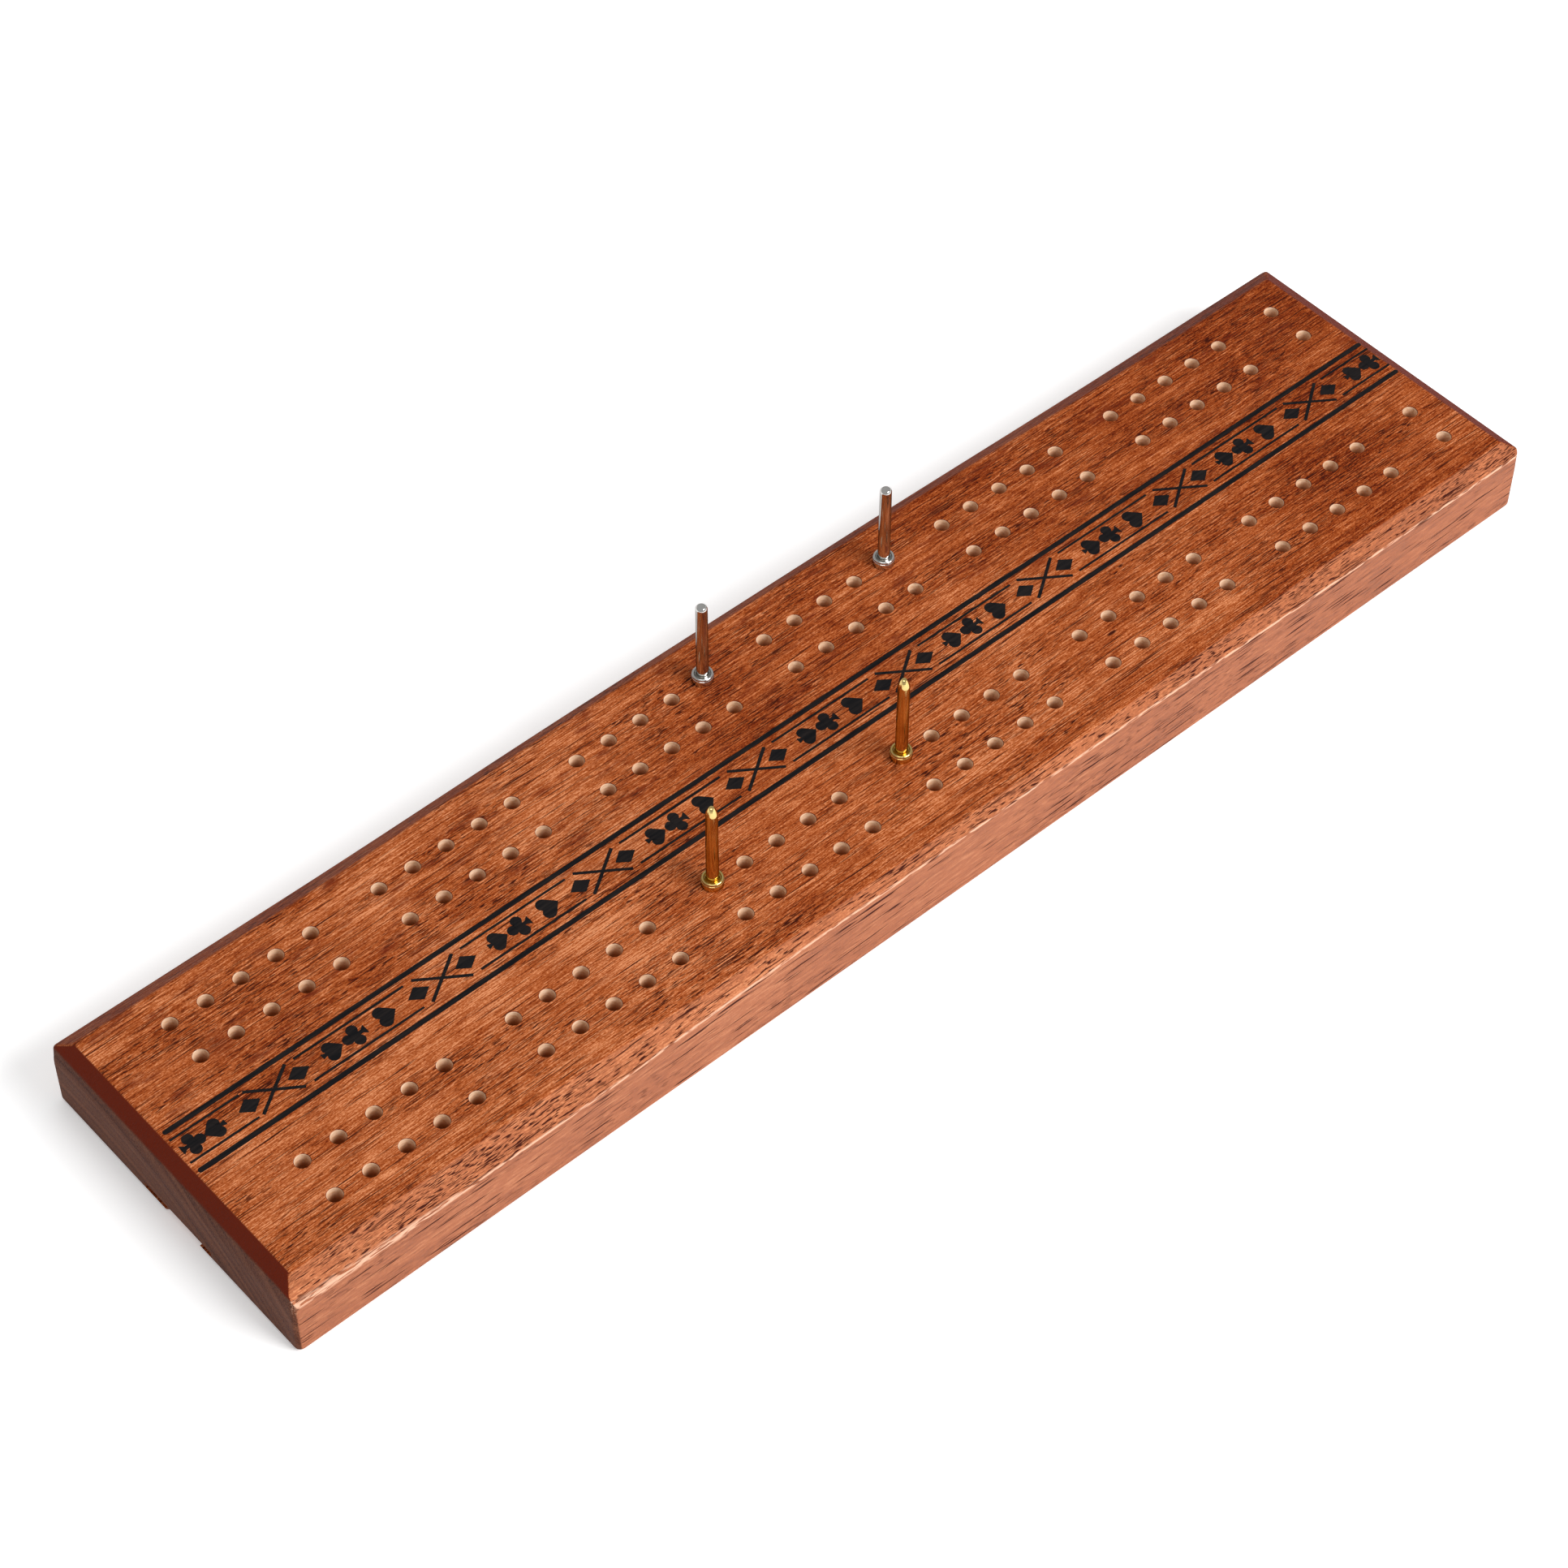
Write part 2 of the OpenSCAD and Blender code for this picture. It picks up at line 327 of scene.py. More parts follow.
    # colour
    stainRamp = nodes.new("ShaderNodeValToRGB")
    stainRamp.label = "Stain from dark to light"
    blotchAmount = nodes.new("ShaderNodeMath")
    blotchAmount.label = "Blotches mostly on the heart side"
    blotchShown = nodes.new("ShaderNodeMath")
    blotchShown.label = "Blotches where they show"
    blotchOrPatch = nodes.new("ShaderNodeMath")
    blotchOrPatch.label = "Blotches and patch"
    farSide = nodes.new("ShaderNodeMapRange")
    farSide.label = "Far side only"
    # painted shade: the far chamfer is darkened with the blotch colour
    farChamferShade = nodes.new("ShaderNodeMath")
    farChamferShade.label = "Painted shade on the far chamfer"
    blotchAndFarShade = nodes.new("ShaderNodeMath")
    blotchAndFarShade.label = "Blotches, patch and painted far-chamfer shade"
    blotchAndShadeMix = nodes.new("ShaderNodeMix")
    blotchAndShadeMix.label = "Dark red blotches and painted far-chamfer shade"
    # these two paint a sheen on the long sides as a paler, pinker colour
    sideSheenStrength = nodes.new("ShaderNodeMath")
    sideSheenStrength.label = "How much painted sheen the long sides get"
    sideSheenMix = nodes.new("ShaderNodeMix")
    sideSheenMix.label = "Painted sheen on the long sides"
    poreMix = nodes.new("ShaderNodeMix")
    poreMix.label = "Stain in the pores"
    endTone = nodes.new("ShaderNodeMath")
    endTone.label = "Layers seen end on"
    endSpeck = nodes.new("ShaderNodeMath")
    endSpeck.label = "Open vessels seen end on"
    endRamp = nodes.new("ShaderNodeValToRGB")
    endRamp.label = "End grain drinks stain"
    endRed = nodes.new("ShaderNodeMix")
    endRed.label = "Darker red on the end chamfers"
    endMix = nodes.new("ShaderNodeMix")
    endMix.label = "End grain"
    colourFrame = nodes.new("NodeFrame")
    colourFrame.label = "Colour"

    # rubbed edges, with a painted highlight along the near lower chamfer edge
    lowBend = nodes.new("ShaderNodeMath")
    lowBend.label = "How near the lower chamfer edge"
    lowAway = nodes.new("ShaderNodeMath")
    lowAway.label = "Either way from the edge"
    lowMask = nodes.new("ShaderNodeMapRange")
    lowMask.label = "Lower chamfer edge"
    nearSide = nodes.new("ShaderNodeMapRange")
    nearSide.label = "Near side only"
    chamferMask = nodes.new("ShaderNodeMapRange")
    chamferMask.label = "Chamfer faces"
    topLimit = nodes.new("ShaderNodeMapRange")
    topLimit.label = "Not the top face"
    chamferOnly = nodes.new("ShaderNodeMath")
    chamferOnly.label = "Only the chamfer"
    nearChamfer = nodes.new("ShaderNodeMath")
    nearChamfer.label = "Only the near chamfer"
    tornFlecks = nodes.new("ShaderNodeMapRange")
    tornFlecks.label = "Fibres torn out of the chamfer"
    tornShown = nodes.new("ShaderNodeMath")
    tornShown.label = "Torn fibres on the near chamfer"
    tornPores = nodes.new("ShaderNodeMath")
    tornPores.label = "Torn fibres hold stain"
    scuffAmount = nodes.new("ShaderNodeMath")
    scuffAmount.label = "How pale the chamfer is"
    scuffMix = nodes.new("ShaderNodeMix")
    scuffMix.label = "Paler torn chamfer"
    edgeLineBreak = nodes.new("ShaderNodeMapRange")
    edgeLineBreak.label = "Worn highlight line breaks up along the edge"
    nearEdgeWearAndHighlight = nodes.new("ShaderNodeMath")
    nearEdgeWearAndHighlight.label = "Worn and painted highlight near edge"
    rubbedAndHighlightLine = nodes.new("ShaderNodeMath")
    rubbedAndHighlightLine.label = "Jagged worn and painted highlight line"
    rubbedAndHighlightMix = nodes.new("ShaderNodeMix")
    rubbedAndHighlightMix.label = "Rubbed-off stain and painted highlight on edges"
    wearAndHighlightFrame = nodes.new("NodeFrame")
    wearAndHighlightFrame.label = "Rubbed edges and painted edge highlight"

    # surface
    roughness = nodes.new("ShaderNodeMapRange")
    roughness.label = "Satin, duller between fibres"
    heightFibre = nodes.new("ShaderNodeMath")
    heightFibre.label = "Raised fibres"
    heightPores = nodes.new("ShaderNodeMath")
    heightPores.label = "Sunk pores"
    bump = nodes.new("ShaderNodeBump")
    bump.label = "Sanded surface"
    shader = nodes.new("ShaderNodeBsdfPrincipled")
    shader.label = "Stained wood"
    output = nodes.new("ShaderNodeOutputMaterial")
    output.label = "Board surface"
    surfaceFrame = nodes.new("NodeFrame")
    surfaceFrame.label = "Surface"

    layOut((
        (grainFrame, (place, millimetres, bendScale, bendNoise, bendMiddle, bendAmount, grain, parts,
                      facing, sideAway, sideMask, endAway, endMask), -3000, 900),
        (ringFrame, (pith, acrossTree, ringRadius, ringStretch, ringWidth, ringSpace, ringNoise), -3000, 500),
        (figureFrame, (strandScale, strandNoise, fibreScale, fibreNoise, fleckScale, fleckNoise, fleckMiddle,
                       fleckFade, fleckKept, figureScale, figureNoise, blotchScale, blotchNoise,
                       blotchMask), -3000, 100),
        (poreFrame, (poreScale, poreNoise, poreMask, crowdScale, crowdNoise, crowdMask, crowdedPores,
                     topPores, lineScale, lineNoise, lineMask, allPores), -3000, -300),
        (toneFrame, (farHalf, edgeBelt, startEnd, toneRing, toneCrowd, toneStrand, toneFibre, toneFleck,
                     toneFigure, toneHalf, toneBelt, toneStart), 0, 900),
        (markFrame, (patchAway, patchMask, patchTorn, knotOffset, knotStretch, knotAway, knotMask,
                     darkMarks), 0, 500),
        (colourFrame, (stainRamp, blotchAmount, blotchShown, blotchOrPatch, farSide, farChamferShade,
                       blotchAndFarShade, blotchAndShadeMix, sideSheenStrength, sideSheenMix, poreMix, endTone, endSpeck, endRamp,
                       endRed, endMix), 0, 100),
        (wearAndHighlightFrame, (lowBend, lowAway, lowMask, nearSide, topLimit, chamferMask, chamferOnly, nearChamfer,
                     tornFlecks, tornShown, tornPores, scuffAmount, scuffMix, edgeLineBreak, nearEdgeWearAndHighlight, rubbedAndHighlightLine,
                     rubbedAndHighlightMix), 0, -300),
        (surfaceFrame, (roughness, heightFibre, heightPores, bump, shader, output), 0, -700),
    ))

    millimetres.operation = "SCALE"
    millimetres.inputs["Scale"].default_value = 1000
    bendScale.operation = "MULTIPLY"
    bendScale.inputs[1].default_value = (0.008, 0.022, 0.022)
    bendNoise.inputs["Scale"].default_value = 1
    bendNoise.inputs["Detail"].default_value = 2
    bendMiddle.operation = "SUBTRACT"
    bendMiddle.inputs[1].default_value = (0.5, 0.5, 0.5)
    bendAmount.operation = "MULTIPLY"
    bendAmount.inputs[1].default_value = (0, 3, 3)
    grain.operation = "ADD"
    sideAway.operation = "ABSOLUTE"
    sideMask.inputs["From Min"].default_value = 0.75
    sideMask.inputs["From Max"].default_value = 0.95
    endAway.operation = "ABSOLUTE"
    endMask.inputs["From Min"].default_value = 0.28
    endMask.inputs["From Max"].default_value = 0.48

    pith.operation = "SUBTRACT"
    pith.inputs[1].default_value = marks["pith"]
    acrossTree.operation = "MULTIPLY"
    acrossTree.inputs[1].default_value = (0, 1, 1)
    ringRadius.operation = "LENGTH"
    ringStretch.operation = "MULTIPLY"
    ringStretch.inputs[1].default_value = 0.007
    ringWidth.operation = "MULTIPLY"
    ringWidth.inputs[1].default_value = 0.42
    ringNoise.inputs["Scale"].default_value = 1
    ringNoise.inputs["Detail"].default_value = 4
    ringNoise.inputs["Roughness"].default_value = 0.6

    strandScale.operation = "MULTIPLY"
    strandScale.inputs[1].default_value = (0.09, 4.0, 2.0)
    strandNoise.inputs["Scale"].default_value = 1
    strandNoise.inputs["Detail"].default_value = 2
    fibreScale.operation = "MULTIPLY"
    fibreScale.inputs[1].default_value = (0.34, 4.8, 2.1)
    fibreNoise.inputs["Scale"].default_value = 1
    fibreNoise.inputs["Detail"].default_value = 1
    fleckScale.operation = "MULTIPLY"
    fleckScale.inputs[1].default_value = (2.1, 5.0, 2.6)
    fleckNoise.inputs["Scale"].default_value = 1
    fleckNoise.inputs["Detail"].default_value = 1
    fleckMiddle.operation = "SUBTRACT"
    fleckMiddle.inputs[1].default_value = 0.5
    fleckFade.inputs["To Min"].default_value = 1.0
    fleckFade.inputs["To Max"].default_value = 0.4
    fleckKept.operation = "MULTIPLY"
    figureScale.operation = "MULTIPLY"
    figureScale.inputs[1].default_value = (0.042, 0.016, 0.02)
    figureNoise.inputs["Scale"].default_value = 1
    figureNoise.inputs["Detail"].default_value = 2
    blotchScale.operation = "MULTIPLY"
    blotchScale.inputs[1].default_value = (0.10, 0.34, 0.34)
    blotchNoise.inputs["Scale"].default_value = 1
    blotchNoise.inputs["Detail"].default_value = 4
    blotchNoise.inputs["Roughness"].default_value = 0.65
    blotchMask.inputs["From Min"].default_value = 0.53
    blotchMask.inputs["From Max"].default_value = 0.70

    poreScale.operation = "MULTIPLY"
    poreScale.inputs[1].default_value = (0.40, 4.0, 1.8)
    poreNoise.inputs["Scale"].default_value = 1
    poreNoise.inputs["Detail"].default_value = 1
    poreMask.inputs["From Min"].default_value = 0.57
    poreMask.inputs["From Max"].default_value = 0.64
    crowdScale.operation = "MULTIPLY"
    crowdScale.inputs[1].default_value = (0.028, 0.16, 0.16)
    crowdNoise.inputs["Scale"].default_value = 1
    crowdNoise.inputs["Detail"].default_value = 4
    crowdMask.inputs["From Min"].default_value = 0.42
    crowdMask.inputs["From Max"].default_value = 0.60
    crowdedPores.operation = "MULTIPLY"
    topPores.operation = "MULTIPLY"
    lineScale.operation = "MULTIPLY"
    lineScale.inputs[1].default_value = (0.085, 4.4, 1.9)
    lineNoise.inputs["Scale"].default_value = 1
    lineNoise.inputs["Detail"].default_value = 1
    lineMask.inputs["From Min"].default_value = 0.62
    lineMask.inputs["From Max"].default_value = 0.70
    allPores.operation = "MAXIMUM"

    farHalf.inputs["From Min"].default_value = -6
    farHalf.inputs["From Max"].default_value = 9
    farHalf.interpolation_type = "SMOOTHSTEP"
    edgeBelt.inputs["From Min"].default_value = -25
    edgeBelt.inputs["From Max"].default_value = -31
    edgeBelt.interpolation_type = "SMOOTHSTEP"
    startEnd.inputs["From Min"].default_value = -60
    startEnd.inputs["From Max"].default_value = 130
    toneRing.operation = "MULTIPLY_ADD"
    toneRing.inputs[1].default_value = 0.50
    toneCrowd.operation = "MULTIPLY_ADD"
    toneCrowd.inputs[1].default_value = -0.45
    toneStrand.operation = "MULTIPLY_ADD"
    toneStrand.inputs[1].default_value = 0.95
    toneFibre.operation = "MULTIPLY_ADD"
    toneFibre.inputs[1].default_value = 1.1
    toneFleck.operation = "MULTIPLY_ADD"
    toneFleck.inputs[1].default_value = 1.0
    toneFigure.operation = "MULTIPLY_ADD"
    toneFigure.inputs[1].default_value = 0.50
    toneHalf.operation = "MULTIPLY_ADD"
    toneHalf.inputs[1].default_value = -0.07
    toneBelt.operation = "MULTIPLY_ADD"
    toneBelt.inputs[1].default_value = -0.05
    toneStart.operation = "MULTIPLY_ADD"
    toneStart.inputs[1].default_value = -0.16
    toneRing.inputs[2].default_value = stain["tone"]

    patchAway.operation = "DISTANCE"
    patchAway.inputs[1].default_value = marks["patch"]
    patchMask.inputs["From Min"].default_value = 4.6
    patchMask.inputs["From Max"].default_value = 1.0
    patchTorn.operation = "MULTIPLY"
    knotOffset.operation = "SUBTRACT"
    knotOffset.inputs[1].default_value = marks["knot"]
    knotStretch.operation = "MULTIPLY"
    knotStretch.inputs[1].default_value = (0.5, 1.6, 1)
    knotAway.operation = "LENGTH"
    knotMask.inputs["From Min"].default_value = 0.75
    knotMask.inputs["From Max"].default_value = 0.4
    darkMarks.operation = "MAXIMUM"

    ramp = stainRamp.color_ramp
    ramp.elements[0].position, ramp.elements[0].color = 0.0, (*stain["darkest"], 1)
    ramp.elements[1].position, ramp.elements[1].color = 1.0, (*stain["palest"], 1)
    darkStep = ramp.elements.new(0.2)
    darkStep.color = (*stain["dark"], 1)
    middleStep = ramp.elements.new(0.5)
    middleStep.color = (*stain["middle"], 1)
    paleStep = ramp.elements.new(0.8)
    paleStep.color = (*stain["pale"], 1)
    blotchAmount.operation = "MULTIPLY_ADD"
    blotchAmount.inputs[1].default_value = 0.55
    blotchAmount.inputs[2].default_value = 0.3
    blotchShown.operation = "MULTIPLY"
    blotchOrPatch.operation = "MAXIMUM"
    # the far chamfer is painted darker with the blotch colour: painted shade
    farSide.inputs["From Min"].default_value = 0.3
    farSide.inputs["From Max"].default_value = 0.6
    farSide.inputs["To Max"].default_value = 0.75
    farChamferShade.operation = "MULTIPLY"
    blotchAndFarShade.operation = "MAXIMUM"
    blotchAndShadeMix.data_type = "RGBA"
    blotchAndShadeMix.inputs["B"].default_value = (*stain["blotchAndShade"], 1)
    # painted sheen: the long sides are mixed towards a paler, pinker colour
    sideSheenStrength.operation = "MULTIPLY"
    sideSheenStrength.inputs[1].default_value = wearAndSheen["sideSheen"]
    sideSheenMix.data_type = "RGBA"
    sideSheenMix.inputs["B"].default_value = (*wearAndSheen["side"], 1)
    poreMix.data_type = "RGBA"
    poreMix.inputs["B"].default_value = (*stain["pore"], 1)
    endTone.operation = "MULTIPLY_ADD"
    endTone.inputs[1].default_value = 1.3
    endSpeck.operation = "MULTIPLY_ADD"
    endSpeck.inputs[1].default_value = 1.0
    endSpeck.inputs[2].default_value = -0.15
    endRamp.color_ramp.elements[0].position = 0.2
    endRamp.color_ramp.elements[0].color = (*stain["endDark"], 1)
    endRamp.color_ramp.elements[1].position = 0.95
    endRamp.color_ramp.elements[1].color = (*stain["endPale"], 1)
    # a darker red mixed onto the chamfers at the ends
    endRed.data_type = "RGBA"
    endRed.inputs["B"].default_value = (*stain["endChamfer"], 1)
    endMix.data_type = "RGBA"

    lowBend.operation = "SUBTRACT"
    lowBend.inputs[1].default_value = 0.36
    lowAway.operation = "ABSOLUTE"
    lowMask.inputs["From Min"].default_value = 0.10
    lowMask.inputs["From Max"].default_value = 0.30
    lowMask.inputs["To Min"].default_value = 1.0
    lowMask.inputs["To Max"].default_value = 0.0
    nearSide.inputs["From Min"].default_value = -0.3
    nearSide.inputs["From Max"].default_value = -0.6
    chamferMask.inputs["From Min"].default_value = 0.3
    chamferMask.inputs["From Max"].default_value = 0.6
    topLimit.inputs["From Min"].default_value = 0.88
    topLimit.inputs["From Max"].default_value = 0.96
    topLimit.inputs["To Min"].default_value = 1.0
    topLimit.inputs["To Max"].default_value = 0.0
    chamferOnly.operation = "MULTIPLY"
    nearChamfer.operation = "MULTIPLY"
    tornFlecks.inputs["From Min"].default_value = 0.42
    tornFlecks.inputs["From Max"].default_value = 0.32
    tornShown.operation = "MULTIPLY"
    tornPores.operation = "MAXIMUM"
    scuffAmount.operation = "MULTIPLY"
    scuffAmount.inputs[1].default_value = wearAndSheen["scuff"]
    scuffMix.data_type = "RGBA"
    scuffMix.inputs["B"].default_value = (*wearAndSheen["torn"], 1)
    # the pale line on the near lower chamfer edge is partly rubbed-off stain, partly a painted highlight
    edgeLineBreak.inputs["From Min"].default_value = 0.40
    edgeLineBreak.inputs["From Max"].default_value = 0.52
    nearEdgeWearAndHighlight.operation = "MULTIPLY"
    rubbedAndHighlightLine.operation = "MULTIPLY"
    rubbedAndHighlightMix.data_type = "RGBA"
    rubbedAndHighlightMix.inputs["B"].default_value = (*wearAndSheen["rubbedAndHighlight"], 1)

    roughness.inputs["To Min"].default_value = 0.45
    roughness.inputs["To Max"].default_value = 0.65
    heightFibre.operation = "MULTIPLY_ADD"
    heightFibre.inputs[1].default_value = 0.6
    heightPores.operation = "MULTIPLY_ADD"
    heightPores.inputs[1].default_value = -1.2
    bump.inputs["Strength"].default_value = 0.5
    bump.inputs["Distance"].default_value = 0.00016
    shader.inputs["Specular IOR Level"].default_value = 0.05

    links.new(place.outputs["Object"], millimetres.inputs[0])
    links.new(millimetres.outputs[0], bendScale.inputs[0])
    links.new(bendScale.outputs[0], bendNoise.inputs["Vector"])
    links.new(bendNoise.outputs["Color"], bendMiddle.inputs[0])
    links.new(bendMiddle.outputs[0], bendAmount.inputs[0])
    links.new(millimetres.outputs[0], grain.inputs[0])
    links.new(bendAmount.outputs[0], grain.inputs[1])
    links.new(grain.outputs[0], parts.inputs[0])
    links.new(place.outputs["Normal"], facing.inputs[0])
    links.new(facing.outputs["Y"], sideAway.inputs[0])
    links.new(sideAway.outputs[0], sideMask.inputs["Value"])
    links.new(facing.outputs["X"], endAway.inputs[0])
    links.new(endAway.outputs[0], endMask.inputs["Value"])

    links.new(grain.outputs[0], pith.inputs[0])
    links.new(pith.outputs[0], acrossTree.inputs[0])
    links.new(acrossTree.outputs[0], ringRadius.inputs[0])
    links.new(parts.outputs["X"], ringStretch.inputs[0])
    links.new(ringRadius.outputs["Value"], ringWidth.inputs[0])
    links.new(ringStretch.outputs[0], ringSpace.inputs["X"])
    links.new(ringWidth.outputs[0], ringSpace.inputs["Y"])
    links.new(ringSpace.outputs[0], ringNoise.inputs["Vector"])

    links.new(grain.outputs[0], strandScale.inputs[0])
    links.new(strandScale.outputs[0], strandNoise.inputs["Vector"])
    links.new(grain.outputs[0], fibreScale.inputs[0])
    links.new(fibreScale.outputs[0], fibreNoise.inputs["Vector"])
    links.new(grain.outputs[0], fleckScale.inputs[0])
    links.new(fleckScale.outputs[0], fleckNoise.inputs["Vector"])
    links.new(fleckNoise.outputs["Fac"], fleckMiddle.inputs[0])
    links.new(sideMask.outputs["Result"], fleckFade.inputs["Value"])
    links.new(fleckMiddle.outputs[0], fleckKept.inputs[0])
    links.new(fleckFade.outputs["Result"], fleckKept.inputs[1])
    links.new(millimetres.outputs[0], figureScale.inputs[0])
    links.new(figureScale.outputs[0], figureNoise.inputs["Vector"])
    links.new(grain.outputs[0], blotchScale.inputs[0])
    links.new(blotchScale.outputs[0], blotchNoise.inputs["Vector"])
    links.new(blotchNoise.outputs["Fac"], blotchMask.inputs["Value"])

    links.new(grain.outputs[0], poreScale.inputs[0])
    links.new(poreScale.outputs[0], poreNoise.inputs["Vector"])
    links.new(poreNoise.outputs["Fac"], poreMask.inputs["Value"])
    links.new(grain.outputs[0], crowdScale.inputs[0])
    links.new(crowdScale.outputs[0], crowdNoise.inputs["Vector"])
    links.new(crowdNoise.outputs["Fac"], crowdMask.inputs["Value"])
    links.new(poreMask.outputs["Result"], crowdedPores.inputs[0])
    links.new(crowdMask.outputs["Result"], crowdedPores.inputs[1])
    links.new(grain.outputs[0], lineScale.inputs[0])
    links.new(lineScale.outputs[0], lineNoise.inputs["Vector"])
    links.new(lineNoise.outputs["Fac"], lineMask.inputs["Value"])
    links.new(crowdedPores.outputs[0], topPores.inputs[0])
    links.new(fleckFade.outputs["Result"], topPores.inputs[1])
    links.new(topPores.outputs[0], allPores.inputs[0])
    links.new(lineMask.outputs["Result"], allPores.inputs[1])

    links.new(parts.outputs["Y"], farHalf.inputs["Value"])
    links.new(parts.outputs["Y"], edgeBelt.inputs["Value"])
    links.new(parts.outputs["X"], startEnd.inputs["Value"])
    links.new(ringNoise.outputs["Fac"], toneRing.inputs[0])
    links.new(strandNoise.outputs["Fac"], toneStrand.inputs[0])
    links.new(crowdNoise.outputs["Fac"], toneCrowd.inputs[0])
    links.new(toneRing.outputs[0], toneCrowd.inputs[2])
    links.new(toneCrowd.outputs[0], toneStrand.inputs[2])
    links.new(fibreNoise.outputs["Fac"], toneFibre.inputs[0])
    links.new(toneStrand.outputs[0], toneFibre.inputs[2])
    links.new(fleckKept.outputs[0], toneFleck.inputs[0])
    links.new(toneFibre.outputs[0], toneFleck.inputs[2])
    links.new(figureNoise.outputs["Fac"], toneFigure.inputs[0])
    links.new(toneFleck.outputs[0], toneFigure.inputs[2])
    links.new(farHalf.outputs["Result"], toneHalf.inputs[0])
    links.new(toneFigure.outputs[0], toneHalf.inputs[2])
    links.new(edgeBelt.outputs["Result"], toneBelt.inputs[0])
    links.new(toneHalf.outputs[0], toneBelt.inputs[2])
    links.new(startEnd.outputs["Result"], toneStart.inputs[0])
    links.new(toneBelt.outputs[0], toneStart.inputs[2])

    links.new(grain.outputs[0], patchAway.inputs[0])
    links.new(patchAway.outputs["Value"], patchMask.inputs["Value"])
    links.new(patchMask.outputs["Result"], patchTorn.inputs[0])
    links.new(strandNoise.outputs["Fac"], patchTorn.inputs[1])
    links.new(millimetres.outputs[0], knotOffset.inputs[0])
    links.new(knotOffset.outputs[0], knotStretch.inputs[0])
    links.new(knotStretch.outputs[0], knotAway.inputs[0])
    links.new(knotAway.outputs["Value"], knotMask.inputs["Value"])
    links.new(knotMask.outputs["Result"], darkMarks.inputs[0])

    links.new(toneStart.outputs[0], stainRamp.inputs["Fac"])
    links.new(farHalf.outputs["Result"], blotchAmount.inputs[0])
    links.new(blotchMask.outputs["Result"], blotchShown.inputs[0])
    links.new(blotchAmount.outputs[0], blotchShown.inputs[1])
    links.new(blotchShown.outputs[0], blotchOrPatch.inputs[0])
    links.new(patchTorn.outputs[0], blotchOrPatch.inputs[1])
    links.new(facing.outputs["Y"], farSide.inputs["Value"])
    links.new(farSide.outputs["Result"], farChamferShade.inputs[0])
    links.new(chamferOnly.outputs[0], farChamferShade.inputs[1])
    links.new(blotchOrPatch.outputs[0], blotchAndFarShade.inputs[0])
    links.new(farChamferShade.outputs[0], blotchAndFarShade.inputs[1])
    links.new(blotchAndFarShade.outputs[0], blotchAndShadeMix.inputs["Factor"])
    links.new(stainRamp.outputs["Color"], blotchAndShadeMix.inputs["A"])
    links.new(sideMask.outputs["Result"], sideSheenStrength.inputs[0])
    links.new(sideSheenStrength.outputs[0], sideSheenMix.inputs["Factor"])
    links.new(blotchAndShadeMix.outputs["Result"], sideSheenMix.inputs["A"])
    links.new(ringNoise.outputs["Fac"], endTone.inputs[0])
    links.new(endSpeck.outputs[0], endTone.inputs[2])
    links.new(fleckMiddle.outputs[0], endSpeck.inputs[0])
    links.new(endTone.outputs[0], endRamp.inputs["Fac"])
    links.new(endRamp.outputs["Color"], endRed.inputs["A"])
    links.new(endRed.outputs["Result"], endMix.inputs["B"])
    links.new(endMask.outputs["Result"], endMix.inputs["Factor"])

    links.new(facing.outputs["Z"], lowBend.inputs[0])
    links.new(lowBend.outputs[0], lowAway.inputs[0])
    links.new(lowAway.outputs[0], lowMask.inputs["Value"])
    links.new(facing.outputs["Y"], nearSide.inputs["Value"])
    links.new(facing.outputs["Z"], chamferMask.inputs["Value"])
    links.new(facing.outputs["Z"], topLimit.inputs["Value"])
    links.new(chamferMask.outputs["Result"], chamferOnly.inputs[0])
    links.new(topLimit.outputs["Result"], chamferOnly.inputs[1])
    links.new(chamferOnly.outputs[0], endRed.inputs["Factor"])
    links.new(chamferOnly.outputs[0], nearChamfer.inputs[0])
    links.new(nearSide.outputs["Result"], nearChamfer.inputs[1])
    links.new(nearChamfer.outputs[0], scuffAmount.inputs[0])
    links.new(sideSheenMix.outputs["Result"], scuffMix.inputs["A"])
    links.new(scuffAmount.outputs[0], scuffMix.inputs["Factor"])
    links.new(poreNoise.outputs["Fac"], tornFlecks.inputs["Value"])
    links.new(tornFlecks.outputs["Result"], tornShown.inputs[0])
    links.new(nearChamfer.outputs[0], tornShown.inputs[1])
    links.new(tornShown.outputs[0], tornPores.inputs[0])
    links.new(allPores.outputs[0], tornPores.inputs[1])
    links.new(tornPores.outputs[0], darkMarks.inputs[1])
    links.new(darkMarks.outputs[0], poreMix.inputs["Factor"])
    links.new(scuffMix.outputs["Result"], poreMix.inputs["A"])
    links.new(fibreNoise.outputs["Fac"], edgeLineBreak.inputs["Value"])
    links.new(lowMask.outputs["Result"], nearEdgeWearAndHighlight.inputs[0])
    links.new(nearSide.outputs["Result"], nearEdgeWearAndHighlight.inputs[1])
    links.new(nearEdgeWearAndHighlight.outputs[0], rubbedAndHighlightLine.inputs[0])
    links.new(edgeLineBreak.outputs["Result"], rubbedAndHighlightLine.inputs[1])
    links.new(poreMix.outputs["Result"], endMix.inputs["A"])
    links.new(endMix.outputs["Result"], rubbedAndHighlightMix.inputs["A"])
    links.new(rubbedAndHighlightLine.outputs[0], rubbedAndHighlightMix.inputs["Factor"])

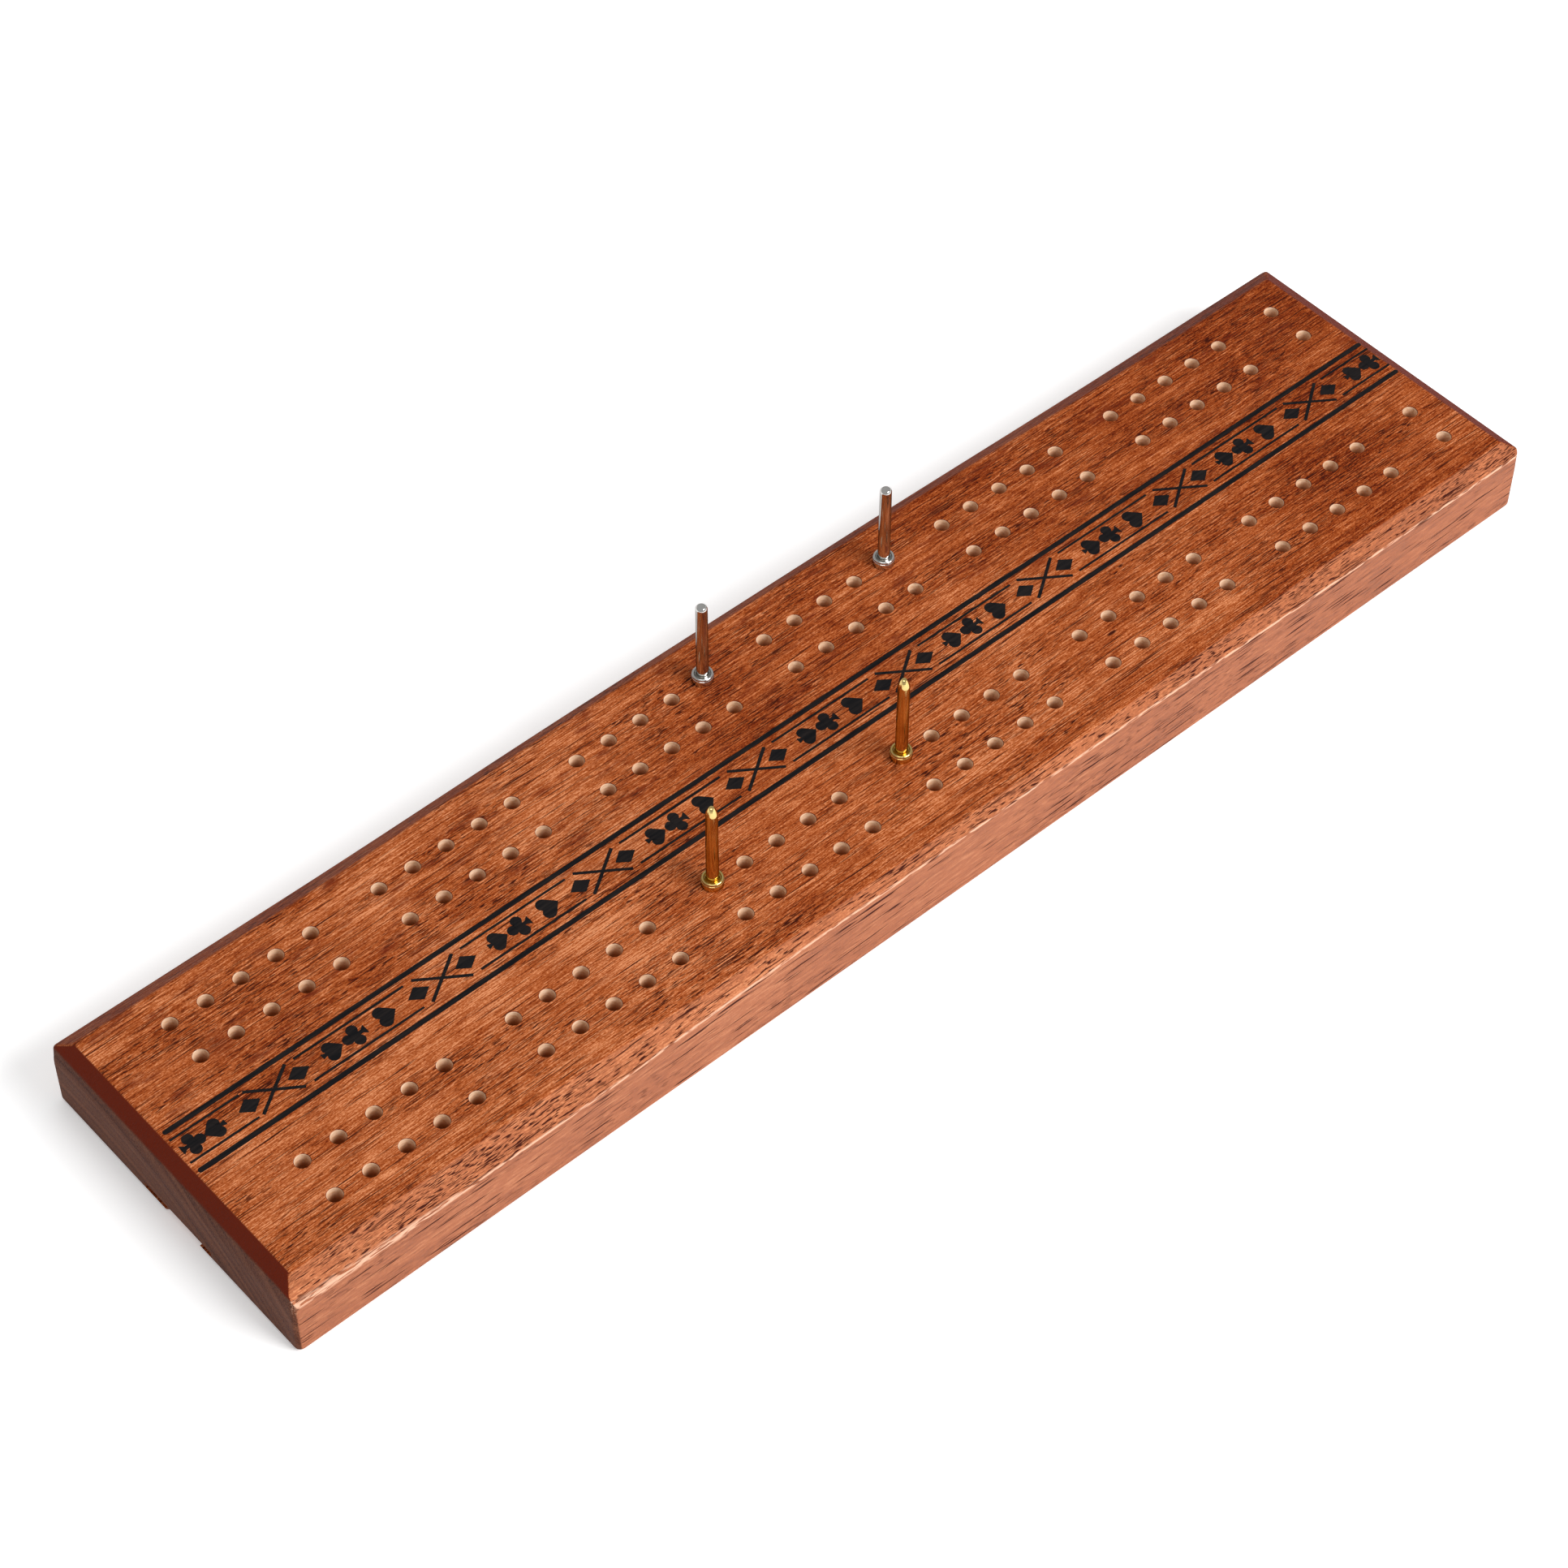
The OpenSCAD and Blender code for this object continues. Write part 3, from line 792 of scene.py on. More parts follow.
    links.new(fleckNoise.outputs["Fac"], roughness.inputs["Value"])
    links.new(roughness.outputs["Result"], shader.inputs["Roughness"])
    links.new(fibreNoise.outputs["Fac"], heightFibre.inputs[0])
    links.new(fleckNoise.outputs["Fac"], heightFibre.inputs[2])
    links.new(darkMarks.outputs[0], heightPores.inputs[0])
    links.new(heightFibre.outputs[0], heightPores.inputs[2])
    links.new(heightPores.outputs[0], bump.inputs["Height"])
    links.new(bump.outputs["Normal"], shader.inputs["Normal"])
    links.new(rubbedAndHighlightMix.outputs["Result"], shader.inputs["Base Color"])
    links.new(shader.outputs["BSDF"], output.inputs["Surface"])
    return wood


def rawWood(name, look):
    raw, nodes, links = emptyMaterial(name)

    place = nodes.new("ShaderNodeTexCoord")
    place.label = "Place in the hole"
    fibreScale = nodes.new("ShaderNodeVectorMath")
    fibreScale.label = "Size of the cut fibres"
    fibreNoise = nodes.new("ShaderNodeTexNoise")
    fibreNoise.label = "Cut fibres"
    drillScale = nodes.new("ShaderNodeVectorMath")
    drillScale.label = "Drill marks run round"
    drillNoise = nodes.new("ShaderNodeTexNoise")
    drillNoise.label = "Drill marks"
    fibreFrame = nodes.new("NodeFrame")
    fibreFrame.label = "Bare fibres"
    ramp = nodes.new("ShaderNodeValToRGB")
    ramp.label = "Bare wood"
    height = nodes.new("ShaderNodeSeparateXYZ")
    height.label = "Height in the hole"
    # painted shade: the wall is mixed towards a dark brown deeper in the hole
    depthMask = nodes.new("ShaderNodeMapRange")
    depthMask.label = "How deep in the hole"
    depthShadeMix = nodes.new("ShaderNodeMix")
    depthShadeMix.label = "Painted shade deeper down"
    colourFrame = nodes.new("NodeFrame")
    colourFrame.label = "Colour"
    bump = nodes.new("ShaderNodeBump")
    bump.label = "Fuzzy drilled wall"
    shader = nodes.new("ShaderNodeBsdfPrincipled")
    shader.label = "Unfinished wood"
    output = nodes.new("ShaderNodeOutputMaterial")
    output.label = "Hole surface"
    surfaceFrame = nodes.new("NodeFrame")
    surfaceFrame.label = "Surface"

    layOut((
        (fibreFrame, (place, fibreScale, fibreNoise, drillScale, drillNoise), -1200, 200),
        (colourFrame, (ramp, height, depthMask, depthShadeMix), -200, 200),
        (surfaceFrame, (bump, shader, output), 700, 200),
    ))

    fibreScale.operation = "MULTIPLY"
    fibreScale.inputs[1].default_value = (600, 1900, 1900)
    fibreNoise.inputs["Scale"].default_value = 1
    fibreNoise.inputs["Detail"].default_value = 2
    drillScale.operation = "MULTIPLY"
    drillScale.inputs[1].default_value = (150, 150, 3500)
    drillNoise.inputs["Scale"].default_value = 1
    ramp.color_ramp.elements[0].position = 0.3
    ramp.color_ramp.elements[0].color = (*look["shade"], 1)
    ramp.color_ramp.elements[1].position = 0.7
    ramp.color_ramp.elements[1].color = (*look["pale"], 1)
    # painted shade, fading in between these two heights
    depthMask.inputs["From Min"].default_value = look["mouth"] * mm
    depthMask.inputs["From Max"].default_value = look["shadeFullAt"] * mm
    depthShadeMix.data_type = "RGBA"
    depthShadeMix.inputs["B"].default_value = (*look["deep"], 1)
    bump.inputs["Strength"].default_value = 0.4
    bump.inputs["Distance"].default_value = 0.0001
    shader.inputs["Roughness"].default_value = 0.85
    shader.inputs["Specular IOR Level"].default_value = 0.1

    links.new(place.outputs["Object"], fibreScale.inputs[0])
    links.new(fibreScale.outputs[0], fibreNoise.inputs["Vector"])
    links.new(place.outputs["Object"], drillScale.inputs[0])
    links.new(drillScale.outputs[0], drillNoise.inputs["Vector"])
    links.new(fibreNoise.outputs["Fac"], ramp.inputs["Fac"])
    links.new(drillNoise.outputs["Fac"], bump.inputs["Height"])
    links.new(bump.outputs["Normal"], shader.inputs["Normal"])
    links.new(place.outputs["Object"], height.inputs[0])
    links.new(height.outputs["Z"], depthMask.inputs["Value"])
    links.new(depthMask.outputs["Result"], depthShadeMix.inputs["Factor"])
    links.new(ramp.outputs["Color"], depthShadeMix.inputs["A"])
    links.new(depthShadeMix.outputs["Result"], shader.inputs["Base Color"])
    links.new(shader.outputs["BSDF"], output.inputs["Surface"])
    return raw


def stampedInk(name, look):
    ink, nodes, links = emptyMaterial(name)

    place = nodes.new("ShaderNodeTexCoord")
    place.label = "Place on the band"
    grainScale = nodes.new("ShaderNodeVectorMath")
    grainScale.label = "Wood grain under the ink"
    grainNoise = nodes.new("ShaderNodeTexNoise")
    grainNoise.label = "Grain that shows through"
    grainFrame = nodes.new("NodeFrame")
    grainFrame.label = "Grain under the ink"
    ramp = nodes.new("ShaderNodeValToRGB")
    ramp.label = "Thick and thin ink"
    gloss = nodes.new("ShaderNodeMapRange")
    gloss.label = "Matt, with a faint sheen"
    bump = nodes.new("ShaderNodeBump")
    bump.label = "Ink follows the fibres"
    shader = nodes.new("ShaderNodeBsdfPrincipled")
    shader.label = "Black ink"
    output = nodes.new("ShaderNodeOutputMaterial")
    output.label = "Ink surface"
    surfaceFrame = nodes.new("NodeFrame")
    surfaceFrame.label = "Ink"

    layOut((
        (grainFrame, (place, grainScale, grainNoise), -800, 0),
        (surfaceFrame, (ramp, gloss, bump, shader, output), -200, 0),
    ))

    grainScale.operation = "MULTIPLY"
    grainScale.inputs[1].default_value = (220, 2100, 2100)
    grainNoise.inputs["Scale"].default_value = 1
    grainNoise.inputs["Detail"].default_value = 4
    ramp.color_ramp.elements[0].position = 0.35
    ramp.color_ramp.elements[0].color = (*look["thick"], 1)
    ramp.color_ramp.elements[1].position = 0.8
    ramp.color_ramp.elements[1].color = (*look["thin"], 1)
    gloss.inputs["To Min"].default_value = 0.5
    gloss.inputs["To Max"].default_value = 0.75
    bump.inputs["Strength"].default_value = 0.35
    bump.inputs["Distance"].default_value = 0.0001
    shader.inputs["Specular IOR Level"].default_value = 0.06

    links.new(place.outputs["Object"], grainScale.inputs[0])
    links.new(grainScale.outputs[0], grainNoise.inputs["Vector"])
    links.new(grainNoise.outputs["Fac"], ramp.inputs["Fac"])
    links.new(grainNoise.outputs["Fac"], gloss.inputs["Value"])
    links.new(grainNoise.outputs["Fac"], bump.inputs["Height"])
    links.new(ramp.outputs["Color"], shader.inputs["Base Color"])
    links.new(gloss.outputs["Result"], shader.inputs["Roughness"])
    links.new(bump.outputs["Normal"], shader.inputs["Normal"])
    links.new(shader.outputs["BSDF"], output.inputs["Surface"])
    return ink


def workedMetal(name, look):
    # a turned peg has its marks round Z, a drawn sheet along X
    metal, nodes, links = emptyMaterial(name)

    place = nodes.new("ShaderNodeTexCoord")
    place.label = "Place on the metal"
    markScale = nodes.new("ShaderNodeVectorMath")
    markScale.label = "Direction of the tool marks"
    markNoise = nodes.new("ShaderNodeTexNoise")
    markNoise.label = "Tool marks"
    smudgeScale = nodes.new("ShaderNodeVectorMath")
    smudgeScale.label = "Size of the finger smudges"
    smudgeNoise = nodes.new("ShaderNodeTexNoise")
    smudgeNoise.label = "Finger smudges"
    markFrame = nodes.new("NodeFrame")
    markFrame.label = "Marks and smudges"
    ramp = nodes.new("ShaderNodeValToRGB")
    ramp.label = "Bright and tarnished metal"
    dulling = nodes.new("ShaderNodeMapRange")
    dulling.label = "Polish dulled by handling"
    bump = nodes.new("ShaderNodeBump")
    bump.label = "Tool marks in the surface"
    shader = nodes.new("ShaderNodeBsdfPrincipled")
    shader.label = "Metal"
    output = nodes.new("ShaderNodeOutputMaterial")
    output.label = "Metal surface"
    surfaceFrame = nodes.new("NodeFrame")
    surfaceFrame.label = "Metal"

    layOut((
        (markFrame, (place, markScale, markNoise, smudgeScale, smudgeNoise), -1200, 0),
        (surfaceFrame, (ramp, dulling, bump, shader, output), -200, 0),
    ))

    markScale.operation = "MULTIPLY"
    markScale.inputs[1].default_value = look["marks"]
    markNoise.inputs["Scale"].default_value = 1
    markNoise.inputs["Detail"].default_value = 3
    smudgeScale.operation = "MULTIPLY"
    smudgeScale.inputs[1].default_value = look["smudges"]
    smudgeNoise.inputs["Scale"].default_value = 1
    smudgeNoise.inputs["Detail"].default_value = 3
    ramp.color_ramp.elements[0].position = 0.3
    ramp.color_ramp.elements[0].color = (*look["tarnished"], 1)
    ramp.color_ramp.elements[1].position = 0.65
    ramp.color_ramp.elements[1].color = (*look["bright"], 1)
    dulling.inputs["From Min"].default_value = 0.3
    dulling.inputs["From Max"].default_value = 0.75
    dulling.inputs["To Min"].default_value = look["polish"][0]
    dulling.inputs["To Max"].default_value = look["polish"][1]
    bump.inputs["Strength"].default_value = look["markDepth"]
    bump.inputs["Distance"].default_value = 0.00005
    shader.inputs["Metallic"].default_value = 1
    shader.inputs["Specular Tint"].default_value = (*look["edge"], 1)

    links.new(place.outputs["Object"], markScale.inputs[0])
    links.new(markScale.outputs[0], markNoise.inputs["Vector"])
    links.new(place.outputs["Object"], smudgeScale.inputs[0])
    links.new(smudgeScale.outputs[0], smudgeNoise.inputs["Vector"])
    links.new(smudgeNoise.outputs["Fac"], ramp.inputs["Fac"])
    links.new(smudgeNoise.outputs["Fac"], dulling.inputs["Value"])
    links.new(markNoise.outputs["Fac"], bump.inputs["Height"])
    links.new(ramp.outputs["Color"], shader.inputs["Base Color"])
    links.new(dulling.outputs["Result"], shader.inputs["Roughness"])
    links.new(bump.outputs["Normal"], shader.inputs["Normal"])
    links.new(shader.outputs["BSDF"], output.inputs["Surface"])
    return metal


board = {                                                            # lengths in mm
    "pitch": 7.68, "groupOf": 5, "groups": 6, "rowGap": 9.17, "streetGap": 29.5,
    "holeWide": 2.9, "holeDeep": 9.0, "holeRim": 0.14,
    "foot": 0.8, "corner": 1.2, "cornerOnTop": 0.5,
    "nearChamfer": (4.0, 2.1, 3.1), "farChamferShade": (4.1, 2.8, 4.05),  # left end, middle, start end
    "leftChamfer": 2.4, "startChamfer": (3.0, 3.7),                  # near corner, far corner
    "leftBlend": (-100, -32), "startBlend": (30, 112),               # where those widths change, along X
    "farDrop": 0.68, "startDrop": 0.61,                              # drop for each mm of inset
    "leftWorn": 1.3, "wornAlong": (-150, -105),                      # the near edge is softer at the left
    "leftLean": 0.5, "startLean": 0.2, "ridgeDepth": 5.6,
    "edgeSoft": 0.45, "ridgeSoft": 1.6, "footSoft": 0.5, "topStrip": 1.6, "stationGap": 2.5,
    "stain": {"tone": -0.60, "darkest": (0.048, 0.005, 0.001), "dark": (0.128, 0.013, 0.0012),
              "middle": (0.290, 0.056, 0.0095), "pale": (0.460, 0.128, 0.040), "palest": (0.66, 0.25, 0.11),
              # the blotch colour also paints shade on the far chamfer
              "blotchAndShade": (0.135, 0.016, 0.004), "pore": (0.045, 0.006, 0.002),
              "endDark": (0.045, 0.009, 0.004), "endPale": (0.215, 0.078, 0.040),
              "endChamfer": (0.125, 0.015, 0.005)},
    # the first colour is the pale edge line, partly wear and partly painted highlight
    "wearAndSheen": {"rubbedAndHighlight": (0.70, 0.40, 0.27), "torn": (0.46, 0.175, 0.085), "scuff": 0.5,
             # the side colour and its amount paint a sheen on the long sides
             "side": (0.35, 0.145, 0.084), "sideSheen": 0.65},
    # the deep colour is painted shade down the holes, from the first height to the second, in mm
    "bare": {"shade": (0.68, 0.42, 0.25), "pale": (0.90, 0.66, 0.47), "deep": (0.50, 0.18, 0.060),
             "mouth": 17.2, "shadeFullAt": 14.6},
    # middle of the trunk, dark patch and pin knot, as places on the board
    "marks": {"pith": (0, 26, -58), "patch": (-130.5, 15, 17.8), "knot": (55, -18.3, 17.8)},
}
groove = {                                                           # under the board, in mm
    "mouth": 10.2, "mouthOff": -1.9, "lip": 1.1, "channel": 19.5, "ceiling": 2.6,
    "store": 13.0, "storeFrom": -135.5, "storeTo": -35.5, "storeTop": 11.1,
    "runOut": 10, "endPlay": 0.2, "overlap": 0.3,
}

low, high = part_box("board")
halfLong, halfWide, thick = high.x / mm, high.y / mm, high.z / mm     # worked in mm below


def sideChamfer(widths, x):
    left, middle, right = widths
    return (middle + (left - middle) * (1 - smooth(x, *board["leftBlend"]))
            + (right - middle) * smooth(x, *board["startBlend"]))


def roundedProfile(corners, softness, steps=5):
    # corners are (inset, height); each inner one is eased over its softness
    line = [corners[0]]
    for before, here, after, soft in zip(corners, corners[1:], corners[2:], softness):
        here = Vector(here)
        toBefore, toAfter = Vector(before) - here, Vector(after) - here
        start = here + toBefore * min(soft / max(toBefore.length, 1e-6), 0.48)
        end = here + toAfter * min(soft / max(toAfter.length, 1e-6), 0.48)
        for i in range(steps + 1):
            t = i / steps
            line.append(tuple(start * (1 - t) ** 2 + here * 2 * t * (1 - t) + end * t * t))
    line.append(corners[-1])
    return line


def sideProfile(inset, drop, soft):
    return roundedProfile(
        [(board["foot"], 0), (0, board["foot"]), (0, thick - board["ridgeDepth"] - 1),
         (0, thick - drop), (inset, thick), (inset + board["topStrip"], thick)],
        [board["footSoft"], board["footSoft"], soft, board["edgeSoft"]])


def endProfile(inset, drop, lean):
    return roundedProfile(
        [(board["foot"], 0), (0, board["foot"]), (0, thick - board["ridgeDepth"]),
         (lean, thick - drop), (lean + inset, thick), (lean + inset + board["topStrip"], thick)],
        [board["footSoft"], board["ridgeSoft"], board["edgeSoft"], board["edgeSoft"]])


def boardBlank():
    # loops of stations round the block, one loop for each point of the edge profile
    longSteps = round(2 * halfLong / board["stationGap"])
    wideSteps = round(2 * halfWide / board["stationGap"])
    arcSteps = 6
    sharpenFrom = 12                              # the corners get sharper from this loop up

    def profileAt(side, t):
        x = halfLong * (2 * t - 1)
        if side == "near":
            soft = board["edgeSoft"] + board["leftWorn"] * (1 - smooth(x, *board["wornAlong"]))
            inset = sideChamfer(board["nearChamfer"], x)
            return sideProfile(inset, inset, soft)
        if side == "far":
            inset = sideChamfer(board["farChamferShade"], x)
            return sideProfile(inset, inset * board["farDrop"], board["edgeSoft"])
        if side == "left":
            return endProfile(board["leftChamfer"], board["leftChamfer"], board["leftLean"])
        nearEnd, farEnd = board["startChamfer"]
        inset = nearEnd + (farEnd - nearEnd) * t
        return endProfile(inset, inset * board["startDrop"], board["startLean"])

    levels = len(profileAt("near", 0))
    loops = [[] for _ in range(levels)]
    # corners in turn: near left, near start, far start, far left
    cornerSides = (("left", 0, "near", 0), ("near", 1, "start", 0), ("start", 1, "far", 1),
                   ("far", 0, "left", 1))
    signs = ((-1, -1), (1, -1), (1, 1), (-1, 1))
    for level in range(levels):
        sharp = smooth(level, sharpenFrom, levels - 3)
        radius = board["corner"] + (board["cornerOnTop"] - board["corner"]) * sharp
        centres, heights = [], []
        for (sx, sy), (sideA, tA, sideB, tB) in zip(signs, cornerSides):
            a, b = profileAt(sideA, tA)[level], profileAt(sideB, tB)[level]
            ends, sides = (a, b) if sideA in ("left", "start") else (b, a)
            centres.append((sx * (halfLong - ends[0] - radius), sy * (halfWide - sides[0] - radius)))
            heights.append((a[1], b[1]))
        runs = (("near", longSteps, 0, 1), ("start", wideSteps, 1, 2), ("far", longSteps, 2, 3),
                ("left", wideSteps, 3, 0))
        for corner, (side, steps, a, b) in enumerate(runs):
            # arc at corner a, then the straight run to corner b
            (cx, cy), (hA, hB) = centres[a], heights[a]
            turn = math.pi + corner * math.pi / 2
            for i in range(arcSteps + 1):
                t = i / arcSteps
                angle = turn + t * math.pi / 2
                loops[level].append((cx + radius * math.cos(angle), cy + radius * math.sin(angle),
                                     hA + (hB - hA) * smooth(t, 0, 1)))
            bx, by = centres[b]
            for i in range(1, steps):
                t = i / steps
                along = t if side in ("near", "start") else 1 - t
                inset, height = profileAt(side, along)[level]
                x, y = cx + (bx - cx) * t, cy + (by - cy) * t
                if side == "near":
                    y = -halfWide + inset
                elif side == "far":
                    y = halfWide - inset
                elif side == "start":
                    x = halfLong - inset
                else:
                    x = -halfLong + inset
                loops[level].append((x, y, height))

    count = len(loops[0])
    vertices = [Vector(p) * mm for loop in loops for p in loop]
    faces = [tuple(reversed(range(count)))]
    for level in range(levels - 1):
        base = level * count
        for i in range(count):
            j = (i + 1) % count
            faces.append((base + i, base + j, base + count + j, base + count + i))
    faces.append(tuple(range((levels - 1) * count, levels * count)))
    return meshPiece("wooden_board", vertices, faces)


def holeCentres():
    block = board["groupOf"] + 1                  # a group and the place left out after it
    columns = [g * block + h for g in range(board["groups"]) for h in range(board["groupOf"])]
    start = board["groups"] * block
    middle = (start - 1) / 2
    inner = board["streetGap"] / 2
    rows = (-inner - board["rowGap"], -inner, inner, inner + board["rowGap"])
    return [((column - middle) * board["pitch"], row) for column in columns + [start] for row in rows]


def turned(outline, segments, centre=(0, 0, 0)):
    # revolves (radius, height) points about Z; the first and last lie on the axis
    cx, cy, cz = centre
    vertices, faces = [], []
    for radius, height in outline[1:-1]:
        for i in range(segments):
            angle = 2 * math.pi * i / segments
            vertices.append((cx + radius * math.cos(angle), cy + radius * math.sin(angle), cz + height))
    bottom, top = len(vertices), len(vertices) + 1
    vertices += [(cx, cy, cz + outline[0][1]), (cx, cy, cz + outline[-1][1])]
    for i in range(segments):
        j = (i + 1) % segments
        faces.append((bottom, j, i))
        for ring in range(len(outline) - 3):
            a, b = ring * segments, (ring + 1) * segments
            faces.append((a + i, a + j, b + j, b + i))
        last = (len(outline) - 3) * segments
        faces.append((last + i, last + j, top))
    return vertices, faces


def slotCutter(name, start, end, wide, z0, z1, y, roundStart=False):
    # a flat-sided slot along X, round at its inner end or at both
    r, steps = wide / 2, 24

    def roundEnd(x, turn):
        angles = [turn + math.pi * i / steps for i in range(steps + 1)]
        return [(x + r * math.cos(angle), y + r * math.sin(angle)) for angle in angles]

    outline = roundEnd(end, -math.pi / 2)
    outline += roundEnd(start, math.pi / 2) if roundStart else [(start, y + r), (start, y - r)]
    count = len(outline)
    vertices = [Vector((x, v, z)) * mm for z in (z0, z1) for x, v in outline]
    faces = [tuple(reversed(range(count))), tuple(range(count, 2 * count))]
    faces += [(i, (i + 1) % count, count + (i + 1) % count, count + i) for i in range(count)]
    return meshPiece(name, vertices, faces)


def makeBoard():
    blank = boardBlank()
    radius, rim, deep = board["holeWide"] / 2, board["holeRim"], board["holeDeep"]
    above, segments = 0.6, 32
    # the drill's point, its wall, the eased rim, and a stub that clears the top face
    drill = [(0, -deep - 0.5), (radius * 0.98, -deep + 0.35), (radius, -deep + 0.6), (radius, -rim * 1.6),
             (radius + rim * 0.3, -rim * 0.7), (radius + rim, 0), (radius + rim, above), (0, above)]
    vertices, faces = [], []
    for x, y in holeCentres():
        more, quads = turned(drill, segments, (x, y, thick))
        faces += [tuple(v + len(vertices) for v in face) for face in quads]
        vertices += more
    drills = meshPiece("drills", [Vector(v) * mm for v in vertices], faces)

    lidLow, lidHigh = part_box("store_lid")
    lidMiddle = (lidLow.y + lidHigh.y) / 2 / mm
    roundX = (lidHigh.x - (lidHigh.y - lidLow.y) / 2) / mm
    outside, storeRound = -halfLong - groove["runOut"], groove["store"] / 2
    cutters = [
        drills,
        slotCutter("channelCut", outside, roundX + groove["endPlay"], groove["channel"], groove["lip"],
                   groove["ceiling"], lidMiddle),
        slotCutter("mouthCut", outside, roundX, groove["mouth"], -1, groove["lip"] + groove["overlap"],
                   groove["mouthOff"]),
        slotCutter("storeCut", groove["storeFrom"] + storeRound, groove["storeTo"] - storeRound,
                   groove["store"], groove["ceiling"] - groove["overlap"], groove["storeTop"], lidMiddle,
                   True),
    ]
    for cutter in cutters:
        cut = blank.modifiers.new(cutter.name, "BOOLEAN")
        cut.object = cutter
        cut.operation = "DIFFERENCE"
        cut.solver = "EXACT"
    keepEvaluated(blank)
    for cutter in cutters:
        bpy.data.objects.remove(cutter)

    blank.data.materials.clear()
    blank.data.materials.append(stainedWood("stained hardwood", board["stain"], board["wearAndSheen"],
                                            board["marks"]))
    blank.data.materials.append(rawWood("bare drilled wood", board["bare"]))

    # the holes show bare wood below their rims
    pitch, holesByColumn = board["pitch"], {}
    for x, y in holeCentres():
        holesByColumn.setdefault(round(x / pitch), []).append((x, y))
    for face in blank.data.polygons:
        c = face.center / mm
        face.material_index = 0
        if thick - deep - 1 < c.z < thick - rim * 0.6 and abs(face.normal.z) < 0.99:
            columns = {round((c.x + shift) / pitch) for shift in (-2, 0, 2)}
            near = [hole for column in columns for hole in holesByColumn.get(column, [])]
            if any(math.hypot(c.x - x, c.y - y) < radius + 0.05 for x, y in near):
                face.material_index = 1
    smoothFaces(blank, 40)
    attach(blank, "board")
    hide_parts("board")


makeBoard()
print("board ready")


stamp = {                                                            # lengths in mm
    "spread": {"stamped_rules": 0.02, "stamped_crosses": 0.06, "stamped_diamonds": 0.10,
               "stamped_spades": 0.13, "stamped_clubs": 0.14, "stamped_hearts": 0.13},
    "ragged": 0.05, "raggedAlong": 0.9, "raggedAcross": 3.2,         # depth, then waves a millimetre
    "longEdge": 1.2, "cutEvery": 0.7, "mostCuts": 400,
    "ink": {"thick": (0.0050, 0.0050, 0.0060), "thin": (0.018, 0.014, 0.013)},
}
ink = stampedInk("stamped black ink", stamp["ink"])


def spreadInk(name):
    # the node's outlines grown by the ink's spread, with edges that follow the fibres
    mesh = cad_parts[name].data.copy()
    shape = bmesh.new()
    shape.from_mesh(mesh)
    bmesh.ops.transform(shape, matrix=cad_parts[name].matrix_world, verts=shape.verts)
    bmesh.ops.remove_doubles(shape, verts=shape.verts, dist=1e-6)
    longEdges = [edge for edge in shape.edges if edge.calc_length() > stamp["longEdge"] * mm
                 and abs(edge.verts[0].co.z - edge.verts[1].co.z) < 1e-6
                 and any(abs(face.normal.z) < 0.5 for face in edge.link_faces)]
    for edge in longEdges:
        cuts = min(int(edge.calc_length() / (stamp["cutEvery"] * mm)), stamp["mostCuts"])
        bmesh.ops.subdivide_edges(shape, edges=[edge], cuts=cuts)
    shape.normal_update()
    moves = []
    for vertex in shape.verts:
        walls = []
        for face in vertex.link_faces:
            flat = Vector((face.normal.x, face.normal.y, 0))
            if abs(face.normal.z) < 0.5 and flat.length > 0.5:
                flat.normalize()
                if all(flat.dot(other) < 0.999 for other in walls):
                    walls.append(flat)
        if not walls:
            continue
        out = sum(walls, Vector()) / len(walls)
        if out.length < 0.3:
            continue
        reach = out.normalized() / max(out.length, 0.6)
        at = vertex.co / mm
        wave = Vector((at.x * stamp["raggedAlong"], at.y * stamp["raggedAcross"], 7))
        ragged = noise.noise(wave) * stamp["ragged"]
        moves.append((vertex, reach * (stamp["spread"][name] + ragged) * mm))
    for vertex, move in moves:
        vertex.co += move
    shape.to_mesh(mesh)
    shape.free()
    piece = bpy.data.objects.new(name + "_ink", mesh)
    bpy.context.scene.collection.objects.link(piece)
    mesh.materials.clear()
    mesh.materials.append(ink)
    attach(piece, "board")
    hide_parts(name)


for name in stamp["spread"]:
    spreadInk(name)
print("stamped band ready")


peg = {                                                              # lengths in mm
    "shank": 2.75, "tipIn": 0.4, "collar": 4.3, "collarHigh": 2.0, "wallHigh": 1.42, "bead": 0.27,
    "stemFoot": 2.44, "stemTop": 2.30, "flare": 0.75, "segments": 56,
    "nickel": {"bright": (0.74, 0.73, 0.71), "tarnished": (0.56, 0.54, 0.51), "polish": (0.03, 0.10),
               "edge": (0.30, 0.28, 0.27), "marks": (300, 300, 9000), "smudges": (260, 260, 160),
               "markDepth": 0.08},
    "brass": {"bright": (0.80, 0.60, 0.24), "tarnished": (0.62, 0.42, 0.14), "polish": (0.06, 0.16),
              "edge": (0.35, 0.28, 0.20), "marks": (300, 300, 9000), "smudges": (260, 260, 160),
              "markDepth": 0.10},
    # each tip from its foot up, as (share of the stem's width, distance below the top)
    "flatTip": [(1.0, 0.62), (0.97, 0.42), (0.80, 0.12), (0.72, 0.02), (0.60, 0.0)],
    "pinchedTip": [(1.0, 1.9), (0.97, 1.6), (0.80, 1.0), (0.52, 0.3), (0.40, 0.06), (0.28, 0.0)],
}


